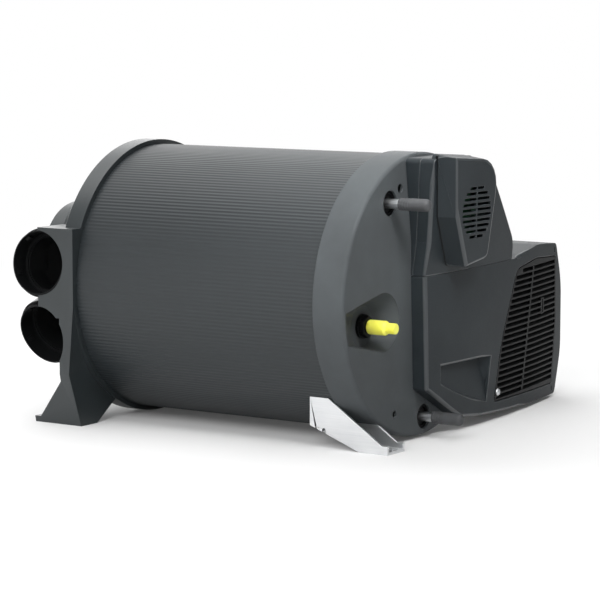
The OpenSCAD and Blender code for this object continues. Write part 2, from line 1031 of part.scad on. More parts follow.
module gas_valve_block() {
    inlet_z = axis_z + gas_at[1];
    top_z = valve_low[2] + valve_size[2];
    color("#9a9c9e")
        placed()
            difference() {
                union() {
                    block(valve_low, valve_low + valve_size);
                    translate([coil_at[0], coil_at[1], top_z])
                        cylinder(r = coil_r, h = coil_h);
                }
                translate([coil_at[0], coil_at[1], inlet_z])
                    cylinder(r = plunger_r + run_gap, h = top_z + coil_h - 2 - inlet_z);
                translate([coil_at[0], valve_low[1] - over, inlet_z])
                    rotate([-90, 0, 0])
                        cylinder(r = gas_r - 1, h = 17 + over);
                bar(valve_low[0] - over, valve_low[0] + 10, feed_r - 1, feed_at);
            }
}

module gas_valve_plunger() {
    foot_z = valve_low[2] + valve_size[2] + coil_h - 2 - plunger_len - plunger_stroke - over;
    color(steel)
        placed()
            translate([coil_at[0], coil_at[1], foot_z])
                cylinder(r = plunger_r, h = plunger_len);
}

module gas_feed_pipe() {
    color(steel)
        placed()
            tube(flange_x + flange_len, valve_low[0], feed_r, 1, feed_at);
}

probe_r = 3;
probe_at = [75, -30];

module water_temperature_sensor() {
    color("#c9a227")
        placed()
            union() {
                bar(tank_end - 25, tank_end, probe_r, probe_at);
                translate([tank_end, probe_at[0], axis_z + probe_at[1]])
                    rotate([0, 90, 0])
                        cylinder(r = 7, h = 8, $fn = 6);
                bar(tank_end + 8, tank_end + 16, 4, probe_at);
            }
}

module overheat_thermostat() {
    at = [40, 84];
    color(black)
        placed()
            union() {
                bar(tank_end, tank_end + 6, 9, at);
                translate([tank_end + 6, at[0], axis_z + at[1]])
                    for (y = [-4, 4])
                        block([0, y - 0.4, -3], [7, y + 0.4, 3]);
            }
}

// Covers

// Round opening in the back of the covers, inside the ring
module back_opening() {
    bar(x_plate - over, x_plate + cover_wall + over, ring_r - 12);
}

module cover_base() {
    wall = 3;
    color(anthracite)
        placed()
            difference() {
                intersection() {
                    along_x(x_plate, x_far)
                        polygon(rounded(upper_outline));
                    below_seam(0);
                }
                along_x(x_plate + cover_wall, x_far)
                    polygon(rounded(inset(upper_outline, wall)));
                intersection() {
                    along_x(x_plate - over, x_far)
                        polygon(rounded(inset(upper_outline, wall)));
                    back_opening();
                }
            }
}

// Everything outside a wall that leans inwards over the edge from a to b
module lean_cut(a, b, lean) {
    edge = flat(b) - flat(a);
    translate([0, a[0], a[1]])
        rotate([atan2(edge[1], edge[0]), 0, 0])
            rotate([0, -lean, 0])
                block([-40, -200, -100], [80, 300, 0]);
}

// Raised panel on the upper cover's face, from a depth under the face up to a height
module panel_block(pts, low, high) {
    difference() {
        along_x(low, high)
            polygon(rounded(pts));
        lean_cut(pts[4], pts[0], panel_lean);
        lean_cut(pts[3], pts[4], panel_lean);
    }
}

// One slot of the vent at a height over its middle, on one side of its middle rib
module vent_slot_block(height, side) {
    rib = 1;
    reach = sqrt(vent_r * vent_r - height * height);
    translate([panel_h, vent_at[0] - height * tan(vent_slant) + side * (rib + reach) / 2, vent_at[1] + height])
        cube([3 * cover_wall, reach - rib, vent_slot], center = true);
}

module electronics_cover() {
    slots = 2 * floor(vent_r / vent_pitch);
    first = -(slots - 1) / 2 * vent_pitch;
    color(anthracite)
        placed()
            difference() {
                union() {
                    difference() {
                        intersection() {
                            along_x(x_plate, x_far)
                                polygon(rounded(upper_outline));
                            behind_upper_face(0);
                        }
                        below_seam(seat_gap);
                    }
                    upper_face_frame()
                        panel_block(panel_foot, -6, panel_h);
                }
                intersection() {
                    along_x(x_plate - over, x_far)
                        polygon(rounded(inset(upper_outline, cover_wall)));
                    behind_upper_face(cover_wall);
                }
                upper_face_frame() {
                    panel_block(inset(panel_foot, cover_wall), -12, panel_h - cover_wall);
                    for (i = [0:slots - 1])
                        for (side = [-1, 1])
                            vent_slot_block(first + i * vent_pitch, side);
                }
            }
}

board_x = x_face + 3;
board_low = [18, 196];
board_high = [62, 264];
board_t = 1.6;

// A block-shaped component on the board, placed from the board's lower corner
module board_item(at, size, tall) {
    translate([board_x + board_t, board_low[0] + at[0], board_low[1] + at[1]])
        cube([tall, size[0], size[1]]);
}

module control_board() {
    color("#2f5d3a")
        placed()
            union() {
                block([board_x, board_low[0], board_low[1]], [board_x + board_t, board_high[0], board_high[1]]);
                board_item([6, 8], [18, 16], 7);
                board_item([28, 10], [14, 10], 5);
                board_item([8, 58], [30, 9], 7);
                translate([board_x + board_t, board_low[0] + 34, board_low[1] + 38])
                    rotate([0, 90, 0])
                        cylinder(r = 5, h = 10);
            }
}

module board_standoffs() {
    edge = 5;
    color("#c9a227")
        placed()
            for (y = [board_low[0] + edge, board_high[0] - edge])
                for (z = [board_low[1] + edge, board_low[1] + 54])
                    bar(x_plate, board_x, 3, [y, z - axis_z]);
}

// Solid of the lower cover and the fan box, taken in by d, back to the given planes
module housing_blank(d, cover_back, box_back) {
    intersection() {
        union() {
            along_x(cover_back, x_far)
                polygon(rounded(inset(lower_outline, d)));
            intersection() {
                along_x(box_back, x_far)
                    polygon(rounded(inset(lower_outline, d)));
                block([0, box_y + d, -over], [x_far, y_max + over, seam_z + 60]);
            }
        }
        behind_face(d);
    }
}

module fan_housing() {
    color(anthracite)
        placed()
            difference() {
                union() {
                    housing_shell();
                    intersection() {
                        recess_wedge(cover_wall);
                        behind_face(over);
                    }
                }
                recess_wedge(0);
            }
}

// Slots for the grille's latches, as [y, z]
latch_at = [[321.5, 168.5], [315, 10.5]];

// Shell of the lower cover and the box's front half, with the opening for the grille
module housing_shell() {
    difference() {
        housing_blank(0, x_plate, x_split);
        difference() {
            housing_blank(cover_wall, x_plate + cover_wall, x_split - over);
            intersection() {
                along_x(x_split, x_far)
                    polygon(rounded(inset(grille_outline, -ledge_w)));
                difference() {
                    behind_face(cover_wall - over);
                    behind_face(2 * cover_wall);
                }
            }
        }
        intersection() {
            housing_blank(cover_wall, x_plate - over, x_split - over);
            back_opening();
        }
        along_x(x_split, x_far)
            polygon(rounded(inset(grille_outline, ledge_w)));
        difference() {
            along_x(x_split, x_far)
                polygon(rounded(grille_outline));
            behind_face(cover_wall);
        }
        bar(x_split, x_far, screw_r, grille_screw_at);
        for (at = latch_at)
            block([x_split, at[0] - 1.5, at[1] - 3], [x_far, at[0] + 1.5, at[1] + 3]);
    }
}

// Wedge-shaped hollow in the lower cover, deepest at its upper right corner
module recess_wedge(grow) {
    floor_lean = 9.6;
    floor_turn = 5.5;
    wall_turn = 25;
    corner = recess_outline[4];
    corner_x = x_face - pow(corner[0] - face_y, 2) / (2 * face_r);
    intersection() {
        along_x(x_plate, x_far)
            polygon(flat_list(inset(recess_outline, -grow)));
        translate([corner_x - recess_depth - grow, corner[0], corner[1]])
            rotate([0, -floor_lean, floor_turn])
                block([0, -300, -300], [300, 300, 300]);
        translate([corner_x, corner[0] + grow, corner[1]])
            rotate([0, 0, -wall_turn])
                block([0, -300, -300], [300, 300, 300]);
    }
}

function flat_list(pts) = [for (p = pts) flat(p)];

box_foot_y = [212, 248];
box_foot_t = 5;
box_foot_reach = 20;
box_foot_hole = [x_box - box_foot_reach / 2, (box_foot_y[0] + box_foot_y[1]) / 2];

module fan_box_rear() {
    color(anthracite)
        placed()
            difference() {
                union() {
                    intersection() {
                        along_x(x_box, x_split)
                            polygon(rounded(lower_outline));
                        block([x_box, box_y, -over], [x_split, y_max + over, seam_z + 60]);
                    }
                    block([x_box, box_foot_y[0], 0], [x_box + 25, box_foot_y[1], 9]);
                    block([x_box - box_foot_reach, box_foot_y[0], 0], [x_box + over, box_foot_y[1], box_foot_t]);
                }
                intersection() {
                    along_x(x_box + cover_wall, x_split + over)
                        polygon(rounded(inset(lower_outline, cover_wall)));
                    block([x_box, box_y + cover_wall, -over], [x_split + over, y_max + over, seam_z + 60]);
                }
                translate([box_foot_hole[0], box_foot_hole[1], -over])
                    cylinder(r = floor_hole_r, h = box_foot_t + 2 * over);
                box_screw_places()
                    cylinder(r = screw_r + seat_gap / 2, h = 200, center = true);
            }
}

clip_at = [278.5, 109.5];
clip_w = 5;

grille_gap = 0.9;
grille_rib_at = [232.5, 94];
grille_rib_lean = 14.3;

// Place along Y of the line between two corners of the grille at a height
function grille_side(low, high, z) = low[0] + (high[0] - low[0]) * (z - low[1]) / (high[1] - low[1]);
function grille_left(z) = z < grille_outline[6][1]
    ? grille_side(grille_outline[0], grille_outline[6], z)
    : grille_side(grille_outline[6], grille_outline[5], z);
function grille_right(z) = z < grille_outline[2][1]
    ? grille_side(grille_outline[1], grille_outline[2], z)
    : grille_side(grille_outline[2], grille_outline[3], z);

// One row of the grille on both sides of its leaning middle rib
module grille_row(z) {
    middle = z + slat_slot / 2;
    top_left = z + slat_slot > 155 ? 215 : 0;
    left = max(grille_left(middle) + grille_frame + 1, top_left);
    right = grille_right(middle) - grille_frame - 0.8;
    rib_y = grille_rib_at[0] + (middle - grille_rib_at[1]) * tan(grille_rib_lean);
    block([x_split, left, z], [x_far, rib_y - 2, z + slat_slot]);
    block([x_split, rib_y + 2, z], [x_far, right, z + slat_slot]);
}

module intake_grille() {
    low = 23;
    rows = floor((160 - low) / slat_pitch);
    color(black)
        placed()
            difference() {
                intersection() {
                    along_x(x_split, x_far)
                        polygon(rounded(inset(grille_outline, grille_gap)));
                    difference() {
                        behind_face(0);
                        behind_face(cover_wall - seat_gap / 2);
                    }
                }
                difference() {
                    for (i = [0:rows - 1])
                        grille_row(low + i * slat_pitch);
                    bar(x_split, x_far, screw_head_r + 2, grille_screw_at);
                    block([x_split, clip_at[0] - clip_w, clip_at[1] - 9], [x_far, clip_at[0] + clip_w, clip_at[1] + 9]);
                }
                block([x_split, clip_at[0] - 1.5, clip_at[1] - 7.5], [x_far, clip_at[0] + 1.5, clip_at[1] + 7.5]);
                bar(x_split, x_far, screw_r + seat_gap, grille_screw_at);
            }
}

// Fans

fan_shaft_r = 4;
fan_motor_x = x_box + cover_wall + 3;
fan_motor_len = 32;
fan_x = fan_motor_x + fan_motor_len + 4;
fan_len = 26;

module circulation_fan_motor() {
    color("#55585a")
        placed()
            union() {
                bar(fan_motor_x, fan_motor_x + fan_motor_len, 30, fan_at);
                bar(fan_motor_x + fan_motor_len, fan_x + 24, fan_shaft_r, fan_at);
            }
}

module circulation_fan_bracket() {
    arms = 3;
    color(steel)
        placed()
            difference() {
                union() {
                    bar(x_box + cover_wall, fan_motor_x, 40, fan_at);
                    translate([x_box + cover_wall, fan_at[0], axis_z + fan_at[1]])
                        for (i = [0:arms - 1])
                            rotate([i * 360 / arms, 0, 0])
                                block([0, -8, 0], [3, 8, 66]);
                }
                bar(x_box, fan_motor_x + over, 12, fan_at);
            }
}

// Wheel with a back disc, forward-bent blades, a front ring and a hub
module fan_wheel(x0, length, r, blades, shaft_r, at) {
    disc_t = 2;
    ring_len = 3;
    blade_in = r * 0.76;
    blade_r = r * 0.2;
    blade_t = 1.2;
    translate([x0, at[0], axis_z + at[1]])
        rotate([0, 90, 0])
            difference() {
                union() {
                    cylinder(r = r, h = disc_t);
                    cylinder(r = shaft_r + 5, h = length * 0.6);
                    translate([0, 0, length - ring_len])
                        difference() {
                            cylinder(r = r, h = ring_len);
                            translate([0, 0, -over])
                                cylinder(r = r - 3, h = ring_len + 2 * over);
                        }
                    intersection() {
                        difference() {
                            cylinder(r = r - 0.5, h = length - over);
                            translate([0, 0, -over])
                                cylinder(r = blade_in, h = length + over);
                        }
                        for (i = [0:blades - 1])
                            rotate([0, 0, i * 360 / blades])
                                translate([(r + blade_in) / 2, blade_r * 0.8, 0])
                                    difference() {
                                        cylinder(r = blade_r, h = length - over, $fn = 48);
                                        translate([0, 0, -over])
                                            cylinder(r = blade_r - blade_t, h = length + 2 * over, $fn = 48);
                                        translate([-2 * blade_r, 0, -over])
                                            cube([4 * blade_r, 2 * blade_r, length + 2 * over]);
                                    }
                    }
                }
                translate([0, 0, -over])
                    cylinder(r = shaft_r + run_gap, h = length + 2 * over);
            }
}

module circulation_fan_wheel() {
    color(black)
        placed()
            fan_wheel(fan_x, fan_len, fan_r, fan_blades, fan_shaft_r, fan_at);
}

module combustion_fan_housing() {
    x0 = blower_x + blower_neck;
    color(alloy)
        placed()
            difference() {
                union() {
                    bar(blower_x, x0 + over, burner_r - 1);
                    bar(x0, motor_x, blower_r);
                }
                bar(blower_x - over, x0 + over, burner_r - 4);
                bar(x0 + blower_wall, motor_x - blower_wall, blower_r - blower_wall);
                bar(motor_x - 2 * blower_wall, motor_x + over, 12);
            }
}

blower_shaft_r = 2;
blower_wheel_r = blower_r - 8;
blower_wheel_len = 20;
blower_wheel_x = blower_x + blower_neck + blower_wall + 2;

module combustion_fan_motor() {
    color("#55585a")
        placed()
            union() {
                bar(motor_x, motor_x + blower_motor_len, 22);
                bar(blower_wheel_x, motor_x, blower_shaft_r);
            }
}

module combustion_fan_wheel() {
    color(alloy)
        placed()
            fan_wheel(blower_wheel_x, blower_wheel_len, blower_wheel_r, 20, blower_shaft_r, [0, 0]);
}

// Feet and fasteners

foot_mid = metal_foot_y - metal_foot_w / 2;
foot_angle = asin(foot_mid / drum_r);
foot_back = x_ring - 30;
foot_front_x = x_plate + metal_foot_reach;
foot_bolt_x = foot_front_x - 7;
foot_bolt_y = -foot_mid - 1.5;
foot_bolt_r = 2.75;
foot_end_h = 9;
foot_knee = foot_front_x - 33.5;
foot_tail_z = 22.6;
foot_top_z = 51.5;

// Side view of the channel's walls, and of its floor
function foot_wall_outline() = [
    [foot_back, foot_tail_z],
    [foot_knee, 0],
    [foot_front_x, 0],
    [foot_front_x, foot_end_h],
    [foot_front_x - 7, foot_end_h],
    [foot_back + 22.5, foot_top_z],
    [foot_back, foot_top_z]
];
function foot_floor_outline() = [
    [foot_back, foot_tail_z],
    [foot_knee, 0],
    [foot_front_x, 0],
    [foot_front_x, metal_foot_t],
    [foot_knee + 1, metal_foot_t],
    [foot_back, foot_tail_z + metal_foot_t]
];

module metal_foot() {
    y0 = -metal_foot_y;
    y1 = y0 + metal_foot_w;
    saddle_t = 3;
    rib_h = 1.5;
    rib_t = 2;
    difference() {
        union() {
            along_y(y0, y0 + metal_foot_t)
                polygon(foot_wall_outline());
            along_y(y1 - metal_foot_t, y1)
                polygon(foot_wall_outline());
            along_y(y0, y1)
                polygon(foot_floor_outline());
            for (y = [y0 + 9, y1 - 9 - rib_t])
                block([foot_knee + 1, y, metal_foot_t - over], [foot_front_x, y + rib_t, metal_foot_t + rib_h]);
            intersection() {
                tube(foot_back, x_ring - 8, drum_r + seat_gap + saddle_t, saddle_t);
                block([foot_back, y0, 0], [x_ring - 8, y1, axis_z]);
            }
        }
        bar(foot_back - over, x_ring + over, drum_r + seat_gap);
        bar(x_ring - 0.5, x_plate + over, ring_r + seat_gap);
        translate([foot_bolt_x, foot_bolt_y, -over])
            cylinder(r = foot_bolt_r, h = 20);
        foot_screw_frames()
            cylinder(r = screw_r + seat_gap, h = 2 * drum_r);
    }
}

module foot_front() {
    color(alloy)
        placed()
            metal_foot();
}

screw_r = 2;
screw_head_r = 3.8;
screw_head_h = 2.4;

// Pan-head screw along +Z whose head sits on z = 0, its shank pointing down
module screw(length) {
    difference() {
        union() {
            translate([0, 0, -length])
                cylinder(r = screw_r, h = length);
            cylinder(r = screw_head_r, h = screw_head_h);
        }
        translate([0, 0, screw_head_h])
            for (turn = [0, 90])
                rotate([0, 0, turn])
                    cube([4.4, 1, 2], center = true);
    }
}

module foot_screws() {
    color(steel)
        placed()
            foot_screw_frames()
                translate([0, 0, drum_r + 3 + 2 * seat_gap])
                    screw(9);
}

// Screws that hold the box's halves together, seen from behind
module box_screw_places() {
    for (p = box_screw_at)
        translate([x_box, p[0], p[1]])
            rotate([0, -90, 0])
                children();
}

box_screw_at = [[170, 20], [300, 18], [300, 165], [196, 165]];

module box_screws() {
    color(steel)
        placed()
            box_screw_places()
                screw(cover_wall + 6);
}

grille_screw_at = [144, 30.5 - axis_z];

module grille_screw() {
    depth = pow(grille_screw_at[0] - face_y, 2) / (2 * face_r);
    color(steel)
        placed()
            translate([x_face - depth + 0.6, grille_screw_at[0], axis_z + grille_screw_at[1]])
                rotate([0, 90, 0])
                    screw(cover_wall * 2 + 2);
}

outlet_housing();
outlet_collar_front_upper();
outlet_collar_front_lower();
outlet_collar_rear_upper();
outlet_collar_rear_lower();
drum_jacket();
insulation_shell();
water_tank();
heat_exchanger();
burner_tube();
burner_flange();
ignition_electrodes();
flue_air_spigot();
flue_exhaust_spigot();
connection_end_cap();
hot_water_pipe();
cold_water_pipe();
hot_pipe_grommet();
cold_pipe_grommet();
hot_pipe_cap();
cold_pipe_cap();
gas_inlet_pipe();
gas_union_nut();
gas_cap();
gas_valve_block();
gas_valve_plunger();
gas_feed_pipe();
water_temperature_sensor();
overheat_thermostat();
cover_base();
electronics_cover();
control_board();
board_standoffs();
fan_housing();
fan_box_rear();
intake_grille();
circulation_fan_motor();
circulation_fan_bracket();
circulation_fan_wheel();
combustion_fan_housing();
combustion_fan_motor();
combustion_fan_wheel();
foot_front();
foot_screws();
box_screws();
grille_screw();
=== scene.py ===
"""Looks of a caravan heater for warm air and water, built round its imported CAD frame.

Sizes are millimetres in the drum's own frame (X along the drum, front towards -Y, floor at Z = 0);
``Place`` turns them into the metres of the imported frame.
"""

import logging
import math
from collections.abc import Callable, Iterable, Sequence
from dataclasses import dataclass, field
from enum import Enum
from typing import ClassVar

import bmesh
import bpy
from bmesh.types import BMEdge, BMesh, BMVert
from bpy.types import Material, Mesh, Node, NodeSocket, NodeTree, Object
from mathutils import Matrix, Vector
from mathutils.bvhtree import BVHTree
from mathutils.interpolate import poly_3d_calc
from mathutils.kdtree import KDTree


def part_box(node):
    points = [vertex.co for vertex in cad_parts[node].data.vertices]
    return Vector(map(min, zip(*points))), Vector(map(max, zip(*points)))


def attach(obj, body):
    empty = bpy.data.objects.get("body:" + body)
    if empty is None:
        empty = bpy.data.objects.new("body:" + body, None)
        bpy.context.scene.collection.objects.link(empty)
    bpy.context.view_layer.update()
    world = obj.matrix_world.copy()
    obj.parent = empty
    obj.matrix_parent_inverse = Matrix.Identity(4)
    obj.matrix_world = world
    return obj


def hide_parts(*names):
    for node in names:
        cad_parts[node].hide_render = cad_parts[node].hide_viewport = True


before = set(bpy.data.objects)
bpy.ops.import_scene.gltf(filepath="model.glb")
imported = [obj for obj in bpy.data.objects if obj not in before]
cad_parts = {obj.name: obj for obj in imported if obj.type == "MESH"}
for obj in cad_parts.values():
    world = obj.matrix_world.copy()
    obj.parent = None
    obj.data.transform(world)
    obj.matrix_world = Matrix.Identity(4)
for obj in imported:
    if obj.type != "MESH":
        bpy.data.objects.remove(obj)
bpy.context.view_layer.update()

LOG = logging.getLogger("heater")
MM = 0.001
METRE_MM = 1000.0
BODY = "heater"
MERGE_M = 2e-6
PLASTIC_IOR = 1.5
WHITE = (1.0, 1.0, 1.0, 1.0)
ALONG_DRUM = Vector((1.0, 0.0, 0.0))

Colour = tuple[float, float, float, float]
Point = tuple[float, float, float]
Pair = tuple[float, float]
Source = Node | NodeSocket
EdgeWidth = Callable[[Vector], float]
EdgeWidths = dict[BMEdge, float]


def linear(hex_colour: str) -> Colour:
    """Turn an sRGB hex value into linear RGBA.

    Args:
        hex_colour: Six hex digits.

    Returns:
        Linear red, green and blue with full alpha.
    """
    parts = [int(hex_colour[i : i + 2], 16) / 255 for i in (0, 2, 4)]
    bent = [p / 12.92 if p <= 0.04045 else ((p + 0.055) / 1.055) ** 2.4 for p in parts]
    return (bent[0], bent[1], bent[2], 1.0)


def add_node(tree: NodeTree, kind: str, inputs: dict | None = None, **settings: object) -> Node:
    """Add one node with its settings, values and links.

    Args:
        tree: NodeTree that takes the node.
        kind: Blender's name of the node type.
        inputs: Socket name or number to a value, an output socket, or a node whose first output feeds it.
        settings: Properties of the node.

    Returns:
        The new node.
    """
    node = tree.nodes.new(kind)
    for key, value in settings.items():
        setattr(node, key, value)
    for socket, value in (inputs or {}).items():
        source = value.outputs[0] if isinstance(value, Node) else value
        if isinstance(source, NodeSocket):
            tree.links.new(source, node.inputs[socket])
        else:
            node.inputs[socket].default_value = source
    return node


def calculate(tree: NodeTree, operation: str, *values: object, **settings: object) -> Node:
    """Add a calculation on values or sockets, in their order."""
    return add_node(tree, "ShaderNodeMath", dict(enumerate(values)), operation=operation, **settings)


def blend(tree: NodeTree, factor: object, first: object, second: object) -> Node:
    """Add a mix of two numbers or patterns."""
    return add_node(tree, "ShaderNodeMix", {"Factor": factor, "A": first, "B": second}, data_type="FLOAT")


def blank_material(name: str) -> Material:
    """Make a material whose node tree is empty."""
    made = bpy.data.materials.new(name)
    made.use_nodes = True
    made.node_tree.nodes.clear()
    return made


class Slot(Enum):
    """Material slots of the record."""

    COVER = "cover_plastic"
    END_CAP = "end_cap_plastic"
    BLACK = "black_plastic"
    JACKET = "jacket_paint"
    FOAM = "insulation_foam"
    RUBBER = "dark_rubber"
    YELLOW = "yellow_plastic"
    CERAMIC = "electrode_ceramic"
    BRASS = "brass"
    ALUMINIUM = "aluminium"
    LAMINATE = "board_laminate"
    MOTOR = "motor_paint"
    FAN = "fan_plastic"
    STEEL = "steel"


@dataclass(frozen=True)
class Finish:
    """What every finish shares: its name, its colours, its base gloss and the patterns it is made of."""

    name: str
    dark: str
    light: str
    roughness: float
    middle_band: ClassVar[Pair] = (0.3, 0.7)
    full_band: ClassVar[Pair] = (0.0, 1.0)

    def material(self) -> Material:
        """Build the finish as a node material."""
        made = blank_material(self.name)
        tree = made.node_tree
        coords = add_node(tree, "ShaderNodeTexCoord").outputs["Object"]
        shader = add_node(tree, "ShaderNodeBsdfPrincipled", self.dress(tree, coords))
        add_node(tree, "ShaderNodeOutputMaterial", {"Surface": shader})
        return made

    def dress(self, tree: NodeTree, coords: Source) -> dict[str, object]:
        """Make the patterns; each finish has its own way.

        Args:
            tree: Material tree.
            coords: Object coordinates in metres.

        Returns:
            What feeds the principled shader, by the names of its inputs.
        """
        raise NotImplementedError

    def noise(self, tree: NodeTree, at: Source, cell_mm: float, detail: float, rough: float = 0.5) -> Node:
        """Add a noise pattern.

        Args:
            tree: Material tree.
            at: Coordinates in metres.
            cell_mm: Size of its cells.
            detail: Number of finer layers.
            rough: Strength of the finer layers.

        Returns:
            The pattern from 0 to 1.
        """
        scale = 1 / (cell_mm * MM)
        inputs = {"Vector": at, "Scale": scale, "Detail": detail, "Roughness": rough}
        return add_node(tree, "ShaderNodeTexNoise", inputs)

    def streaks(self, tree: NodeTree, coords: Source, long_mm: float, wide_mm: float, rough: float) -> Node:
        """Add a noise pattern that is drawn out along X.

        Args:
            tree: Material tree.
            coords: Object coordinates in metres.
            long_mm: Length of a streak.
            wide_mm: Width of a streak.
            rough: Strength of the finer layers.

        Returns:
            The pattern from 0 to 1.
        """
        wide = 1 / (wide_mm * MM)
        drawn = add_node(tree, "ShaderNodeMapping", {"Vector": coords, "Scale": (1 / (long_mm * MM), wide, wide)})
        return self.noise(tree, drawn, METRE_MM, detail=3.0, rough=rough)

    def tones(self, tree: NodeTree, pattern: Source, band: Pair = middle_band) -> Node:
        """Spread a pattern over the finish's two colours.

        Args:
            tree: Material tree.
            pattern: Pattern from 0 to 1.
            band: Pattern values of the dark and the light colour.

        Returns:
            The colours.
        """
        ramp = add_node(tree, "ShaderNodeValToRGB", {"Fac": pattern})
        for stop, place, colour in zip(ramp.color_ramp.elements, band, (self.dark, self.light)):
            stop.position, stop.color = place, linear(colour)
        return ramp

    def gloss(self, tree: NodeTree, pattern: Source, down: float, up: float, band: Pair = middle_band) -> Node:
        """Let a pattern vary the roughness.

        Args:
            tree: Material tree.
            pattern: Pattern from 0 to 1.
            down: How far the roughness falls.
            up: How far it rises.
            band: Pattern values of the least and the most roughness.

        Returns:
            The roughness.
        """
        inputs = {"Value": pattern, "From Min": band[0], "From Max": band[1]}
        ends = {"To Min": self.roughness - down, "To Max": self.roughness + up}
        return add_node(tree, "ShaderNodeMapRange", inputs | ends)

    def relief(self, tree: NodeTree, pattern: Source, strength: float, mm: float, invert: bool = False) -> Node:
        """Turn a pattern into a fine relief of a depth in millimetres."""
        inputs = {"Height": pattern, "Strength": strength, "Distance": mm * MM}
        return add_node(tree, "ShaderNodeBump", inputs, invert=invert)


@dataclass(frozen=True)
class MouldedPlastic(Finish):
    """Injection-moulded plastic with a spark-eroded grain: matt, with a fine tooth in the highlights."""

    grain_mm: float = 0.9
    grain_depth_mm: float = 0.05
    cloud_mm: float = 60.0
    bump: float = 0.35
    shine: float = 0.36

    def dress(self, tree: NodeTree, coords: Source) -> dict[str, object]:
        """Mottled colour, grain in relief and gloss; the grain is coarser than its real 0.2 mm so that it shows."""
        cloud = self.noise(tree, coords, self.cloud_mm, detail=4.0, rough=0.6)
        grain = self.noise(tree, coords, self.grain_mm, detail=2.0, rough=0.7)
        return {
            "Base Color": self.tones(tree, cloud),
            "Roughness": self.gloss(tree, grain, down=0.05, up=0.07),
            "Normal": self.relief(tree, grain, self.bump, self.grain_depth_mm),
            "IOR": PLASTIC_IOR,
            "Specular IOR Level": self.shine,
        }


@dataclass(frozen=True)
class CoatedSheet(Finish):
    """Coil-coated sheet metal: a low sheen with faint rolling streaks along X."""

    streak_mm: float = 1.6
    streak_long_mm: float = 140.0
    streak_depth_mm: float = 0.05
    cloud_mm: float = 90.0
    cloud_share: float = 0.35

    def dress(self, tree: NodeTree, coords: Source) -> dict[str, object]:
        """Streaks run along X, with broad clouds in the colour and the gloss."""
        streak = self.streaks(tree, coords, self.streak_long_mm, self.streak_mm, rough=0.6)
        cloud = self.noise(tree, coords, self.cloud_mm, detail=3.0)
        both = blend(tree, self.cloud_share, streak, cloud)
        return {
            "Base Color": self.tones(tree, both),
            "Roughness": self.gloss(tree, both, down=0.06, up=0.06),
            "Normal": self.relief(tree, streak, strength=0.12, mm=self.streak_depth_mm),
            "IOR": PLASTIC_IOR,
            "Coat Weight": 0.12,
            "Coat Roughness": 0.35,
        }


@dataclass(frozen=True)
class DrawnMetal(Finish):
    """Bare metal with drawing or rolling lines along X: bright, streaked, soft at the edges of a reflection."""

    line_mm: float = 0.5
    drawn_out: float = 50.0
    line_depth_mm: float = 0.03
    cloud_mm: float = 30.0
    cloud_share: float = 0.4

    def dress(self, tree: NodeTree, coords: Source) -> dict[str, object]:
        """Lines along the drawing direction; a slow cloud keeps the metal from looking uniform."""
        lines = self.streaks(tree, coords, self.line_mm * self.drawn_out, self.line_mm, rough=0.65)
        cloud = self.noise(tree, coords, self.cloud_mm, detail=2.0)
        both = blend(tree, self.cloud_share, lines, cloud)
        return {
            "Base Color": self.tones(tree, both),
            "Roughness": self.gloss(tree, lines, down=0.06, up=0.08),
            "Normal": self.relief(tree, lines, strength=0.1, mm=self.line_depth_mm),
            "Metallic": 1.0,
        }


@dataclass(frozen=True)
class SoftMoulding(Finish):
    """Soft polymer such as rubber or polyethylene: waxy, with light that bleeds a little under the skin."""

    bleed: float = 0.0
    bleed_m: Point = (0.002, 0.002, 0.001)
    cloud_mm: float = 12.0
    skin_mm: float = 1.2
    skin_depth_mm: float = 0.04

    def dress(self, tree: NodeTree, coords: Source) -> dict[str, object]:
        """Slow clouds in colour and gloss, and a skin of shallow flow marks."""
        cloud = self.noise(tree, coords, self.cloud_mm, detail=4.0)
        skin = self.noise(tree, coords, self.skin_mm, detail=2.0)
        return {
            "Base Color": self.tones(tree, cloud),
            "Roughness": self.gloss(tree, cloud, down=0.08, up=0.08, band=self.full_band),
            "Normal": self.relief(tree, skin, strength=0.2, mm=self.skin_depth_mm),
            "IOR": PLASTIC_IOR,
            "Subsurface Weight": self.bleed,
            "Subsurface Radius": self.bleed_m,
        }


@dataclass(frozen=True)
class BeadFoam(Finish):
    """Particle foam pressed from beads of 3 mm: dull, with a cell pattern."""

    bead_mm: float = 3.0
    gap_depth_mm: float = 0.3
    cell_band: ClassVar[Pair] = (0.1, 0.8)

    def dress(self, tree: NodeTree, coords: Source) -> dict[str, object]:
        """Cells in colour and relief."""
        cells = add_node(tree, "ShaderNodeTexVoronoi", {"Vector": coords, "Scale": 1 / (self.bead_mm * MM)})
        return {
            "Base Color": self.tones(tree, cells, self.cell_band),
            "Normal": self.relief(tree, cells, strength=0.5, mm=self.gap_depth_mm, invert=True),
            "Roughness": self.roughness,
        }


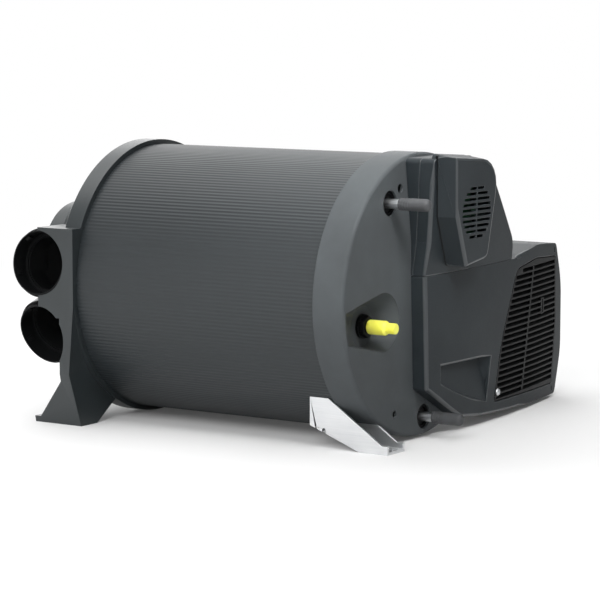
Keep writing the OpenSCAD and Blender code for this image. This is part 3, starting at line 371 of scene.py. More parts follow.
FINISHES: dict[Slot, Finish] = {
    Slot.COVER: MouldedPlastic("anthracite_moulded_abs", "22272a", "292e31", 0.48, shine=0.16),
    Slot.END_CAP: MouldedPlastic("grey_moulded_polypropylene", "46494b", "4d5153", 0.46, shine=0.08),
    Slot.BLACK: MouldedPlastic("black_moulded_abs", "0c0d0e", "131415", 0.48, grain_mm=0.7, shine=0.14),
    Slot.JACKET: CoatedSheet("anthracite_coated_sheet", "171d20", "1f2528", 0.52),
    Slot.FOAM: BeadFoam("grey_bead_foam", "3f4244", "5b5e60", 0.85),
    Slot.RUBBER: SoftMoulding("dark_rubber", "38393b", "434547", 0.58),
    Slot.YELLOW: SoftMoulding("yellow_polyethylene", "f4f052", "f8f46c", 0.36, bleed=0.3),
    Slot.CERAMIC: SoftMoulding("glazed_ceramic", "e2dccd", "efebe0", 0.25),
    Slot.BRASS: DrawnMetal("turned_brass", "b08d3a", "cbab5a", 0.28),
    Slot.ALUMINIUM: DrawnMetal("mill_finish_aluminium", "d2d4d6", "e4e5e6", 0.34, line_mm=0.8),
    Slot.LAMINATE: SoftMoulding("green_board_laminate", "1c4427", "28583a", 0.35),
    Slot.MOTOR: CoatedSheet("grey_coated_steel", "44484a", "53575a", 0.45),
    Slot.FAN: MouldedPlastic("black_moulded_polyamide", "18191a", "202223", 0.5),
    Slot.STEEL: DrawnMetal("drawn_stainless_steel", "d6d9dc", "eceeef", 0.34),
}


class Paint:
    """Holds one material for each slot and puts it on pieces."""

    def __init__(self) -> None:
        """Build every finish once."""
        self.of: dict[Slot, Material] = {slot: finish.material() for slot, finish in FINISHES.items()}

    def dress(self, piece: Object, slot: Slot) -> None:
        """Put a slot's material on every face of a piece."""
        piece.data.materials.clear()
        piece.data.materials.append(self.of[slot])

    def dress_nodes(self, nodes: dict[str, Slot]) -> None:
        """Put materials on the CAD nodes' own material slots.

        Args:
            nodes: CAD node to the slot whose material it takes.
        """
        for node, slot in nodes.items():
            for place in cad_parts[node].material_slots:
                place.material = self.of[slot]


@dataclass(frozen=True)
class Place:
    """The drum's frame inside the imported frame, in metres."""

    x: float
    y: float

    @classmethod
    def of_drum(cls) -> "Place":
        """Read the drum's middle from the jacket's box."""
        low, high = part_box("drum_jacket")
        return cls((low.x + high.x) / 2, (low.y + high.y) / 2)

    def metres(self, point: Sequence[float]) -> Vector:
        """Packed place of a point given in the drum's frame in millimetres."""
        return Vector((self.x + point[0] * MM, self.y + point[1] * MM, point[2] * MM))

    def drum(self, point: Vector) -> Vector:
        """Point in the drum's frame in millimetres of a packed place."""
        return Vector(((point.x - self.x) / MM, (point.y - self.y) / MM, point.z / MM))


PLACE = Place.of_drum()
PAINT = Paint()


def link_mesh(name: str, mesh: Mesh) -> Object:
    """Link a mesh in metres into the scene as a piece at the origin."""
    piece = bpy.data.objects.new(name, mesh)
    bpy.context.scene.collection.objects.link(piece)
    return piece


def link_shape(name: str, shape: BMesh) -> Object:
    """Link an edit mesh into the scene as a piece, and free it."""
    mesh = bpy.data.meshes.new(name)
    shape.to_mesh(mesh)
    shape.free()
    return link_mesh(name, mesh)


def evaluated(piece: Object) -> Mesh:
    """Mesh of a piece with its modifiers taken up."""
    return bpy.data.meshes.new_from_object(piece.evaluated_get(bpy.context.evaluated_depsgraph_get()))


def settle(piece: Object, sharp_deg: float = 32.0) -> Object:
    """Turn a piece with modifiers into a plain mesh, smooth but for its sharp edges.

    Args:
        piece: Object whose modifiers are taken up into its mesh.
        sharp_deg: Edges that bend more than this stay sharp.

    Returns:
        The same object.
    """
    mesh = evaluated(piece)
    piece.modifiers.clear()
    piece.data = mesh
    mesh.polygons.foreach_set("use_smooth", [True] * len(mesh.polygons))
    mesh.set_sharp_from_angle(angle=math.radians(sharp_deg))
    return piece


def finish_piece(piece: Object, slot: Slot, body: str = BODY, nodes: Iterable[str] = ()) -> Object:
    """Dress a piece, let it ride on its body and hide the CAD nodes that it stands for.

    Args:
        piece: Finished mesh object.
        slot: Its material slot.
        body: CAD body that carries it.
        nodes: CAD nodes that it replaces.

    Returns:
        The same object.
    """
    PAINT.dress(piece, slot)
    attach(piece, body)
    for node in nodes:
        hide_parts(node)
    LOG.info("%s: %d faces on %s", piece.name, len(piece.data.polygons), body)
    return piece


def welded(node: str) -> BMesh:
    """Join a CAD node's loose triangles into a mesh with shared points."""
    shape = bmesh.new()
    shape.from_mesh(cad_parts[node].data)
    bmesh.ops.remove_doubles(shape, verts=shape.verts, dist=MERGE_M)
    bmesh.ops.dissolve_degenerate(shape, edges=shape.edges, dist=MERGE_M)
    return shape


def borrow_normals(
    mesh: Mesh, node: str, near_m: float = 5e-5, near_cos: float = 0.998, inset: float = 0.02
) -> None:
    """Shade what a copy still shares with its CAD node by the CAD's own normals, true to the curved surfaces.

    Args:
        mesh: Mesh of the copy.
        node: CAD node.
        near_m: Corners closer than this to the CAD surface may share it.
        near_cos: Least cosine between a face and the CAD triangle that it shares.
        inset: How far a corner is looked up towards the middle of its face.
    """
    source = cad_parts[node].data
    source.calc_loop_triangles()
    triangles = list(source.loop_triangles)
    points = [vert.co.copy() for vert in source.vertices]
    tree = BVHTree.FromPolygons(points, [tuple(triangle.vertices) for triangle in triangles])
    theirs = [corner.vector.copy() for corner in source.corner_normals]
    ours = [tuple(corner.vector) for corner in mesh.corner_normals]
    for face in mesh.polygons:
        for loop in face.loop_indices:
            corner = mesh.vertices[mesh.loops[loop].vertex_index].co
            spot, normal, number, gap = tree.find_nearest(corner.lerp(face.center, inset))
            if number is None or gap > near_m or normal.dot(face.normal) < near_cos:
                continue
            shares = poly_3d_calc([points[i] for i in triangles[number].vertices], spot)
            mixed = sum((theirs[i] * share for i, share in zip(triangles[number].loops, shares)), Vector())
            ours[loop] = tuple(mixed.normalized())
    mesh.normals_split_custom_set(ours)


@dataclass(frozen=True)
class Rounding:
    """How a rigid piece's edges are rounded.

    ``width`` gives millimetres from an edge's middle. Where the round strays from the CAD surface, the edges near
    it go down the shares in ``ease``.
    """

    width: EdgeWidth
    segments: int = 3
    sharp_deg: float = 32.0
    true_normals: bool = True
    hollow_share: float = 1.0
    merge_mm: float = 0.0
    ease: ClassVar[Sequence[float]] = (1.0, 0.5, 0.25, 0.0)
    bends_deg: ClassVar[Pair] = (28.0, 150.0)
    flat_deg: ClassVar[float] = 0.05
    busy_share: ClassVar[float] = 0.45
    free_share: ClassVar[float] = 0.9
    depth_share: ClassVar[float] = 0.5
    depth_slack_m: ClassVar[float] = 5e-5
    proud_mm: ClassVar[float] = 0.25
    reach_share: ClassVar[float] = 1.6
    reach_slack_m: ClassVar[float] = 3e-4
    marked: ClassVar[int] = 1
    weight: ClassVar[str] = "bevel_weight_edge"

    def replace(self, node: str, name: str, slot: Slot, body: str = BODY) -> Object:
        """Put a rounded copy in a CAD node's place."""
        return finish_piece(self.copy(node, name), slot, body, [node])

    def copy(self, node: str, name: str) -> Object:
        """Copy a CAD node and round its edges, more finely where a full round finds no room.

        Args:
            node: CAD node.
            name: Name of the new piece.

        Returns:
            The rounded copy.
        """
        shape = welded(node)
        flat = math.radians(self.flat_deg)
        bmesh.ops.dissolve_limit(shape, angle_limit=flat, verts=shape.verts, edges=shape.edges, delimit={"NORMAL"})
        if self.merge_mm > 0:
            bmesh.ops.remove_doubles(shape, verts=shape.verts, dist=self.merge_mm * MM)
        shape.normal_update()
        # The layer comes before the widths: a new layer makes edges that are already held stale.
        shape.edges.layers.float.new(self.weight)
        surface = BVHTree.FromBMesh(shape)
        wanted = self.wanted(shape)
        eased = dict.fromkeys(wanted, 0)
        piece = link_mesh(name, bpy.data.meshes.new(name))
        for _ in range(2 * len(self.ease)):
            widths = {edge: width * self.ease[eased[edge]] for edge, width in wanted.items()}
            self.bevel(shape, widths, piece)
            tight = self.tight_edges(piece.data, surface, shape, widths)
            if not tight:
                break
            for edge in tight:
                eased[edge] = min(eased[edge] + 1, len(self.ease) - 1)
        shape.free()
        LOG.info("%s: %d of %d edges eased", name, sum(1 for n in eased.values() if n), len(eased))
        steady = piece.modifiers.new("steady_shading", "WEIGHTED_NORMAL")
        steady.keep_sharp = True
        piece.data = evaluated(piece)
        piece.modifiers.clear()
        if self.true_normals:
            borrow_normals(piece.data, node)
        return piece

    def wanted(self, shape: BMesh) -> EdgeWidths:
        """Choose a width for every edge that bends enough, held back by the room at its ends.

        Args:
            shape: Joined mesh.

        Returns:
            Edge to width in millimetres.
        """
        least, most = self.bends_deg
        widths: EdgeWidths = {}
        for edge in shape.edges:
            if len(edge.link_faces) == 2 and least < math.degrees(edge.calc_face_angle(0.0)) < most:
                middle = PLACE.drum((edge.verts[0].co + edge.verts[1].co) / 2)
                width = self.width(middle)
                if edge.calc_face_angle_signed(0.0) < 0:
                    width *= self.hollow_share
                if width > 0:
                    widths[edge] = width
        return {edge: min(width, *(self.room(vert, widths) for vert in edge.verts)) for edge, width in widths.items()}

    def room(self, vert: BMVert, widths: EdgeWidths) -> float:
        """Find the width for which there is room round a point.

        Args:
            vert: Point of the joined mesh.
            widths: Edges that are to be rounded.

        Returns:
            Width in millimetres.
        """
        meeting = sum(1 for edge in vert.link_edges if edge in widths)
        limits = [math.inf]
        for edge in vert.link_edges:
            length = edge.calc_length() / MM
            if edge not in widths:
                busy = any(other in widths for other in edge.other_vert(vert).link_edges)
                limits.append(length * (self.busy_share if busy else self.free_share))
            elif meeting != 2:
                limits.append(length * self.busy_share)
        return min(limits)

    def bevel(self, shape: BMesh, widths: EdgeWidths, piece: Object) -> None:
        """Give a piece the shape with its edges rounded and the faces of the rounds marked by their material slot.

        Args:
            shape: Joined mesh.
            widths: Edge to width in millimetres.
            piece: Object that takes the result.
        """
        weights = shape.edges.layers.float[self.weight]
        widest = max(widths.values(), default=0.0)
        for edge in shape.edges:
            edge[weights] = widths.get(edge, 0.0) / widest if widest > 0 else 0.0
        mesh = bpy.data.meshes.new(piece.name)
        shape.to_mesh(mesh)
        for _ in range(self.marked + 1):
            mesh.materials.append(None)
        piece.data = mesh
        if widest > 0:
            step = piece.modifiers.new("rounding", "BEVEL")
            step.limit_method = "WEIGHT"
            step.width = widest * MM
            step.segments = self.segments
            step.use_clamp_overlap = False
            step.material = self.marked
        settle(piece, self.sharp_deg)

    def off_surface(self, point: Vector, surface: BVHTree, allowed: float) -> bool:
        """Say whether a point of a round lies deeper under the CAD surface than allowed, or stands proud of it."""
        near, normal, _, gap = surface.find_nearest(point)
        return gap > allowed or (gap > self.proud_mm * MM and (point - near).dot(normal) > 0)

    def tight_edges(
        self, mesh: Mesh, surface: BVHTree, shape: BMesh, widths: EdgeWidths
    ) -> set[BMEdge]:
        """Find the edges whose round strays from the CAD surface.

        Args:
            mesh: Rounded mesh.
            surface: CAD surface.
            shape: Joined mesh before rounding.
            widths: Edge to width in millimetres.

        Returns:
            Edges that start at a point near such a place.
        """
        widest = max(widths.values(), default=0.0) * MM
        if widest == 0:
            return set()
        allowed = self.depth_share * widest + self.depth_slack_m
        mesh.calc_loop_triangles()
        strays: set[int] = set()
        for triangle in mesh.loop_triangles:
            corners = [mesh.vertices[i].co for i in triangle.vertices]
            halves = [(corners[i] + corners[i - 1]) / 2 for i in range(3)]
            probes = [*corners, (corners[0] + corners[1] + corners[2]) / 3, *halves]
            if any(self.off_surface(probe, surface, allowed) for probe in probes):
                strays.update(triangle.vertices)
        tree = KDTree(len(shape.verts))
        for number, vert in enumerate(shape.verts):
            tree.insert(vert.co, number)
        tree.balance()
        shape.verts.ensure_lookup_table()
        reach = self.reach_share * widest + self.reach_slack_m
        found: set[BMEdge] = set()
        for index in strays:
            for _, number, _ in tree.find_range(mesh.vertices[index].co, reach):
                found.update(edge for edge in shape.verts[number].link_edges if widths.get(edge, 0.0) > 0)
        return found


def even(width_mm: float) -> EdgeWidth:
    """Rounding of one width on every edge."""
    return lambda middle: width_mm


SHARP = Rounding(even(0.0))


def plain_copies(parts: dict[str, Slot]) -> None:
    """Replace turned or drawn CAD nodes by copies that are smooth but for their sharp edges.

    Args:
        parts: CAD node to its material slot.
    """
    for node, slot in parts.items():
        piece = settle(link_shape(node + "_smooth", welded(node)))
        borrow_normals(piece.data, node)
        finish_piece(piece, slot, nodes=[node])


class Recipe:
    """A geometry-node tree with named inputs, which starts from a piece's mesh and ends in one material."""

    def __init__(self, name: str, inputs: dict[str, str]) -> None:
        """Make the tree with its input sockets.

        Args:
            name: Name of the tree.
            inputs: Input name to the last word of its socket type.
        """
        self.tree = bpy.data.node_groups.new(name, "GeometryNodeTree")
        face = self.tree.interface
        self.sockets = {
            label: face.new_socket(label, in_out="INPUT", socket_type="NodeSocket" + kind).identifier
            for label, kind in {"Geometry": "Geometry", **inputs, "Material": "Material"}.items()
        }
        face.new_socket("Result", in_out="OUTPUT", socket_type="NodeSocketGeometry")
        self.given = add_node(self.tree, "NodeGroupInput").outputs

    def close(self, geometry: Source) -> None:
        """End the tree in real faces that carry the material.

        Args:
            geometry: What the tree has made.
        """
        real = add_node(self.tree, "GeometryNodeRealizeInstances", {"Geometry": geometry})
        dressed = add_node(self.tree, "GeometryNodeSetMaterial", {"Geometry": real, "Material": self.given["Material"]})
        add_node(self.tree, "NodeGroupOutput", {"Result": dressed})

    def run(self, piece: Object, slot: Slot, values: dict[str, object]) -> Object:
        """Put the tree on a piece with its values and take the result up into the mesh.

        Args:
            piece: Object that takes the result.
            slot: Slot whose material the faces carry.
            values: Input name to value.

        Returns:
            The same object.
        """
        step = piece.modifiers.new(self.tree.name, "NODES")
        step.node_group = self.tree
        for label, value in {**values, "Material": PAINT.of[slot]}.items():
            step[self.sockets[label]] = value
        return settle(piece)


class CorrugatedSheet(Recipe):
    """Tube along X whose wall is rolled into ribs that run along it."""

    def __init__(self) -> None:
        """Sweep a circle and press its points in between the ribs."""
        lengths = {"Radius": "Float", "Rib depth": "Float", "Ribs": "Float", "Points": "Int"}
        super().__init__("corrugated_sheet", lengths | {"Start": "Vector", "End": "Vector", "Axis": "Vector"})
        tree, given = self.tree, self.given
        circle = {"Resolution": given["Points"], "Radius": given["Radius"]}
        ring = add_node(tree, "GeometryNodeCurvePrimitiveCircle", circle)
        line = add_node(tree, "GeometryNodeCurvePrimitiveLine", {"Start": given["Start"], "End": given["End"]})
        tube = add_node(tree, "GeometryNodeCurveToMesh", {"Curve": line, "Profile Curve": ring})
        place = add_node(tree, "GeometryNodeInputPosition")
        parts = add_node(tree, "ShaderNodeSeparateXYZ", {"Vector": place}).outputs
        turns = calculate(tree, "MULTIPLY", calculate(tree, "ARCTAN2", parts["Y"], parts["Z"]), given["Ribs"])
        dip = calculate(tree, "MULTIPLY_ADD", calculate(tree, "COSINE", turns), 0.5, -0.5)
        press = calculate(tree, "MULTIPLY", dip, given["Rib depth"])
        flat = add_node(tree, "ShaderNodeCombineXYZ", {"Y": parts["Y"], "Z": parts["Z"]})
        outward = add_node(tree, "ShaderNodeVectorMath", {0: flat}, operation="NORMALIZE")
        move = add_node(tree, "ShaderNodeVectorMath", {0: outward, "Scale": press}, operation="SCALE")
        ribbed = add_node(tree, "GeometryNodeSetPosition", {"Geometry": tube, "Offset": move})
        self.close(add_node(tree, "GeometryNodeTransform", {"Geometry": ribbed, "Translation": given["Axis"]}))


class SweptBlades(Recipe):
    """Flat blades swept along the lines of a mesh, all leaning the same way."""

    def __init__(self) -> None:
        """Sweep a small leaning rectangle along every line."""
        super().__init__("swept_blades", {"Width": "Float", "Thickness": "Float", "Lean": "Float"})
        tree, given = self.tree, self.given
        lines = add_node(tree, "GeometryNodeMeshToCurve", {"Mesh": given["Geometry"]})
        upright = add_node(tree, "GeometryNodeSetCurveNormal", {"Curve": lines}, mode="Z_UP")
        sides = {"Width": given["Width"], "Height": given["Thickness"]}
        blade = add_node(tree, "GeometryNodeCurvePrimitiveQuadrilateral", sides)
        turn = add_node(tree, "ShaderNodeCombineXYZ", {"Z": given["Lean"]})
        leaning = add_node(tree, "GeometryNodeTransform", {"Geometry": blade, "Rotation": turn})
        sweep = {"Curve": upright, "Profile Curve": leaning, "Fill Caps": True}
        self.close(add_node(tree, "GeometryNodeCurveToMesh", sweep))


class SetScrews(Recipe):
    """Copies of one screw head on points, each aimed along the point's own direction."""

    def __init__(self) -> None:
        """Instance the head on every point."""
        super().__init__("set_screws", {"Head": "Object"})
        tree, given = self.tree, self.given
        head = add_node(tree, "GeometryNodeObjectInfo", {"Object": given["Head"]}, transform_space="ORIGINAL")
        aim = add_node(tree, "GeometryNodeInputNamedAttribute", {"Name": "aim"}, data_type="FLOAT_VECTOR")
        turn = add_node(tree, "FunctionNodeAlignRotationToVector", {"Vector": aim.outputs["Attribute"]}, axis="Z")
        points = add_node(tree, "GeometryNodeMeshToPoints", {"Mesh": given["Geometry"]})
        placed = {"Points": points, "Instance": head.outputs["Geometry"], "Rotation": turn}
        self.close(add_node(tree, "GeometryNodeInstanceOnPoints", placed))


def points_mesh(name: str, screws: Sequence[tuple[Vector, Vector]]) -> Object:
    """Make an object of loose points that carry a direction each.

    Args:
        name: Name of the object.
        screws: Place in metres and unit direction of each point.

    Returns:
        The new object.
    """
    mesh = bpy.data.meshes.new(name)
    mesh.from_pydata([tuple(place) for place, _ in screws], [], [])
    attribute = mesh.attributes.new("aim", "FLOAT_VECTOR", "POINT")
    attribute.data.foreach_set("vector", [part for _, aim in screws for part in aim])
    return link_mesh(name, mesh)


def black_blades(name: str, lines: Sequence[Sequence[Vector]], width: float, thickness: float, lean_deg: float) -> None:
    """Build black blades along open lines.

    Args:
        name: Name of the piece.
        lines: Points of each line in metres.
        width: Width of a blade.
        thickness: Its thickness.
        lean_deg: How far it leans.
    """
    points: list[tuple[float, ...]] = []
    edges: list[tuple[int, int]] = []
    for line in lines:
        first = len(points)
        points += [tuple(p) for p in line]
        edges += [(first + i, first + i + 1) for i in range(len(line) - 1)]
    mesh = bpy.data.meshes.new(name)
    mesh.from_pydata(points, edges, [])
    values = {"Width": width * MM, "Thickness": thickness * MM, "Lean": math.radians(lean_deg)}
    finish_piece(SweptBlades().run(link_mesh(name, mesh), Slot.BLACK, values), Slot.BLACK)


@dataclass(frozen=True)
class Mouth:
    """Middle of a duct socket's mouth, its outward axis, and the upward direction in its plane."""

    centre: Vector
    axis: Vector
    up: Vector

    def inside(self, depth: float, angle: float, radius: float) -> Vector:
        """Packed place of a point in the socket, by its depth, its angle and its distance from the axis."""
        spoke = ALONG_DRUM * math.cos(angle) + self.up * math.sin(angle)
        return PLACE.metres(self.centre - self.axis * depth + spoke * radius)


@dataclass
class OutletEnd:
    """Air chamber at the drum's left end with its four duct sockets and moulded feet."""

    socket_x: float = -198.3
    socket_r: float = 32.75
    socket_depth: float = 90.0
    bore_slack: float = 0.6
    mouths: dict[str, Point] = field(
        default_factory=lambda: {"upper": (148.2, 173.0, 6.0), "lower": (136.0, 95.0, -20.0)}
    )
    collar_edge_mm: float = 0.35
    catch_at: Sequence[Point] = ((128.0, 5.0, 2.2), (-62.0, 11.0, 1.2), (8.0, 5.0, 2.2), (-160.0, 5.0, 1.2))
    catch_ramp: Sequence[float] = (3.5, 6.0, 10.0, 12.0)
    catch_foot: float = 0.1
    catch_sunk: float = 0.05
    catch_steps: int = 6
    middle: Point = (-200.0, 0.0, 149.5)
    # Reach round the chamber's middle of the black painted shade on its inward walls.
    shade_reach: Point = (40.0, 104.5, 96.0)
    finish: Finish = MouldedPlastic("anthracite_glossy_polypropylene", "23282a", "2a3032", 0.36, shine=0.62)

    def build(self) -> None:
        """Build the chamber, its sockets and the catches inside them."""
        self.shade_inside(SHARP.replace("outlet_housing", "outlet_chamber", Slot.COVER))
        collar = Rounding(even(self.collar_edge_mm), segments=2)
        for side, sign in (("front", -1), ("rear", 1)):
            for level in self.mouths:
                which = f"{side}_{level}"
                collar.replace(f"outlet_collar_{which}", f"duct_socket_{which}", Slot.BLACK)
                finish_piece(self.catches(f"duct_catches_{which}", self.mouth(sign, level)), Slot.BLACK)

    def shade_inside(self, housing: Object) -> None:
        """Give the chamber its own sheen outside, and black as painted shade on the walls that face its middle and in
        the bores of its sockets.

        Args:
            housing: Finished chamber.
        """
        mesh = housing.data
        mesh.materials[0] = self.finish.material()
        mesh.materials.append(PAINT.of[Slot.BLACK])
        for face in mesh.polygons:
            at = PLACE.drum(face.center)
            inward = Vector(self.middle) - at
            near = all(abs(part) < reach for part, reach in zip(inward, self.shade_reach))
            # Black on the inward walls and in the socket bores is painted shade inside the chamber.
            face.material_index = int(self.in_socket(at) or (near and inward.dot(face.normal) > 0))

    def mouth(self, sign: int, level: str) -> Mouth:
        """Find a socket's mouth.

        Args:
            sign: -1 for the front side, 1 for the rear.
            level: Which of the two heights.

        Returns:
            The mouth in the drum's frame.
        """
        out, high, rise_deg = self.mouths[level]
        lean = math.radians(rise_deg)
        axis = Vector((0.0, sign * math.cos(lean), math.sin(lean)))
        up = Vector((0.0, -sign * math.sin(lean), math.cos(lean)))
        return Mouth(Vector((self.socket_x, sign * out, high)), axis, up)

    def in_socket(self, point: Vector) -> bool:
        """Say whether a point lies in the bore of a socket."""
        for mouth in (self.mouth(sign, level) for sign in (-1, 1) for level in self.mouths):
            along = (point - mouth.centre).dot(mouth.axis)
            off_axis = (point - mouth.centre - mouth.axis * along).length
            if -self.socket_depth < along < 0.0 and off_axis < self.socket_r + self.bore_slack:
                return True
        return False

    def catches(self, name: str, mouth: Mouth) -> Object:
        """Build the small wedge-shaped catches that hold a duct in its socket.

        Args:
            name: Name of the piece.
            mouth: Mouth of the socket.

        Returns:
            The new piece.
        """
        shape = bmesh.new()
        for turn_deg, half_deg, tall in self.catch_at:
            self.catch(shape, mouth, math.radians(turn_deg), math.radians(half_deg), tall)
        bmesh.ops.recalc_face_normals(shape, faces=shape.faces)
        return settle(link_shape(name, shape))

    def catch(self, shape: BMesh, mouth: Mouth, turn: float, half: float, tall: float) -> None:
        """Add one catch on the socket's inner wall.

        Args:
            shape: Mesh that takes the faces.
            mouth: Mouth of the socket.
            turn: Angle of the catch round the socket.
            half: Half its angle.
            tall: Its height off the wall.
        """
        steps, outer = self.catch_steps, self.socket_r - self.catch_sunk
        angles = [turn + half * (2 * i / steps - 1) for i in range(steps + 1)]
        rows = list(zip(self.catch_ramp, (self.catch_foot, tall, tall, self.catch_foot)))
        inner = [[shape.verts.new(mouth.inside(depth, a, outer - rise)) for a in angles] for depth, rise in rows]
        wall = [[shape.verts.new(mouth.inside(depth, a, outer)) for a in angles] for depth, _ in rows]
        last = len(rows) - 1
        for a in range(last):
            for grid in (inner, wall):
                for i in range(steps):
                    shape.faces.new((grid[a][i], grid[a][i + 1], grid[a + 1][i + 1], grid[a + 1][i]))
            for i in (0, steps):
                shape.faces.new((inner[a][i], inner[a + 1][i], wall[a + 1][i], wall[a][i]))
        for a in (0, last):
            for i in range(steps):
                shape.faces.new((inner[a][i], inner[a][i + 1], wall[a][i + 1], wall[a][i]))


@dataclass
class Drum:
    """Ribbed jacket with the tank, the exchanger and the burner inside."""

    radius: float = 144.0
    half_length: float = 162.0
    axis_z: float = 149.5
    rib_depth: float = 0.28
    ribs: int = 224
    points_per_rib: int = 6
    wall: float = 1.4
    sharp_deg: float = 50.0
    flue_edge_mm: float = 0.6

    def build(self) -> None:
        """Build the jacket and dress what it holds."""
        self.jacket()
        PAINT.dress_nodes(
            {
                "insulation_shell": Slot.FOAM,
                "water_tank": Slot.STEEL,
                "heat_exchanger": Slot.ALUMINIUM,
                "burner_tube": Slot.STEEL,
                "burner_flange": Slot.STEEL,
                "ignition_electrodes": Slot.CERAMIC,
            }
        )
        plain_copies({"flue_exhaust_spigot": Slot.STEEL})
        Rounding(even(self.flue_edge_mm)).replace("flue_air_spigot", "flue_air_socket", Slot.BLACK)

    def jacket(self) -> None:
        """Roll the ribbed sheet and give it its wall."""
        middle = PLACE.metres((0.0, 0.0, self.axis_z))
        values = {
            "Radius": self.radius * MM,
            "Rib depth": self.rib_depth * MM,
            "Ribs": float(self.ribs),
            "Points": self.ribs * self.points_per_rib,
            "Start": (-self.half_length * MM, 0.0, 0.0),
            "End": (self.half_length * MM, 0.0, 0.0),
            "Axis": tuple(middle),
        }
        piece = link_mesh("ribbed_jacket", bpy.data.meshes.new("ribbed_jacket"))
        CorrugatedSheet().run(piece, Slot.JACKET, values)
        shape = bmesh.new()
        shape.from_mesh(piece.data)
        bmesh.ops.recalc_face_normals(shape, faces=shape.faces)
        face = next(iter(shape.faces))
        if face.normal.dot(face.calc_center_median() - middle) < 0:
            bmesh.ops.reverse_faces(shape, faces=shape.faces)
        shape.to_mesh(piece.data)
        shape.free()
        sheet = piece.modifiers.new("wall", "SOLIDIFY")
        sheet.thickness = self.wall * MM
        sheet.offset = -1.0
        finish_piece(settle(piece, self.sharp_deg), Slot.JACKET, nodes=["drum_jacket"])


@dataclass
class ConnectionEnd:
    """Ring and end plate with the water pipes, the gas inlet and their caps."""

    edge_mm: float = 0.5
    sharp_deg: float = 36.0
    nut_edge_mm: float = 0.6

    def build(self) -> None:
        """Build the end cap and everything that comes through it."""
        plate = Rounding(even(self.edge_mm), sharp_deg=self.sharp_deg, true_normals=False)
        plate.replace("connection_end_cap", "end_ring_and_plate", Slot.END_CAP)
        plain_copies(
            {
                "hot_water_pipe": Slot.STEEL,
                "cold_water_pipe": Slot.STEEL,
                "hot_pipe_grommet": Slot.RUBBER,
                "cold_pipe_grommet": Slot.RUBBER,
                "gas_inlet_pipe": Slot.STEEL,
            }
        )
        # The grommets take the black plastic in place of their rubber, as painted shade in the holes round the pipes.
        for side in ("hot", "cold"):
            PAINT.dress(bpy.data.objects[f"{side}_pipe_grommet_smooth"], Slot.BLACK)
        Rounding(even(self.nut_edge_mm)).replace("gas_union_nut", "gas_nut", Slot.BLACK)
        for body, node, slot in (
            ("hot_cap", "hot_pipe_cap", Slot.RUBBER),
            ("cold_cap", "cold_pipe_cap", Slot.RUBBER),
            ("gas_cap", "gas_cap", Slot.YELLOW),
        ):
            SHARP.replace(node, node + "_pulled", slot, body)
        PAINT.dress_nodes(
            {
                "gas_valve_block": Slot.ALUMINIUM,
                "gas_feed_pipe": Slot.STEEL,
                "gas_valve_plunger": Slot.STEEL,
                "water_temperature_sensor": Slot.BRASS,
                "overheat_thermostat": Slot.BLACK,
            }
        )


@dataclass(frozen=True)
class Patch:
    """Rectangle across the drum and up, in millimetres."""

    y: Pair
    z: Pair

    def holds(self, point: Vector) -> bool:
        """Say whether a point lies inside."""
        return self.y[0] < point.y < self.y[1] and self.z[0] < point.z < self.z[1]


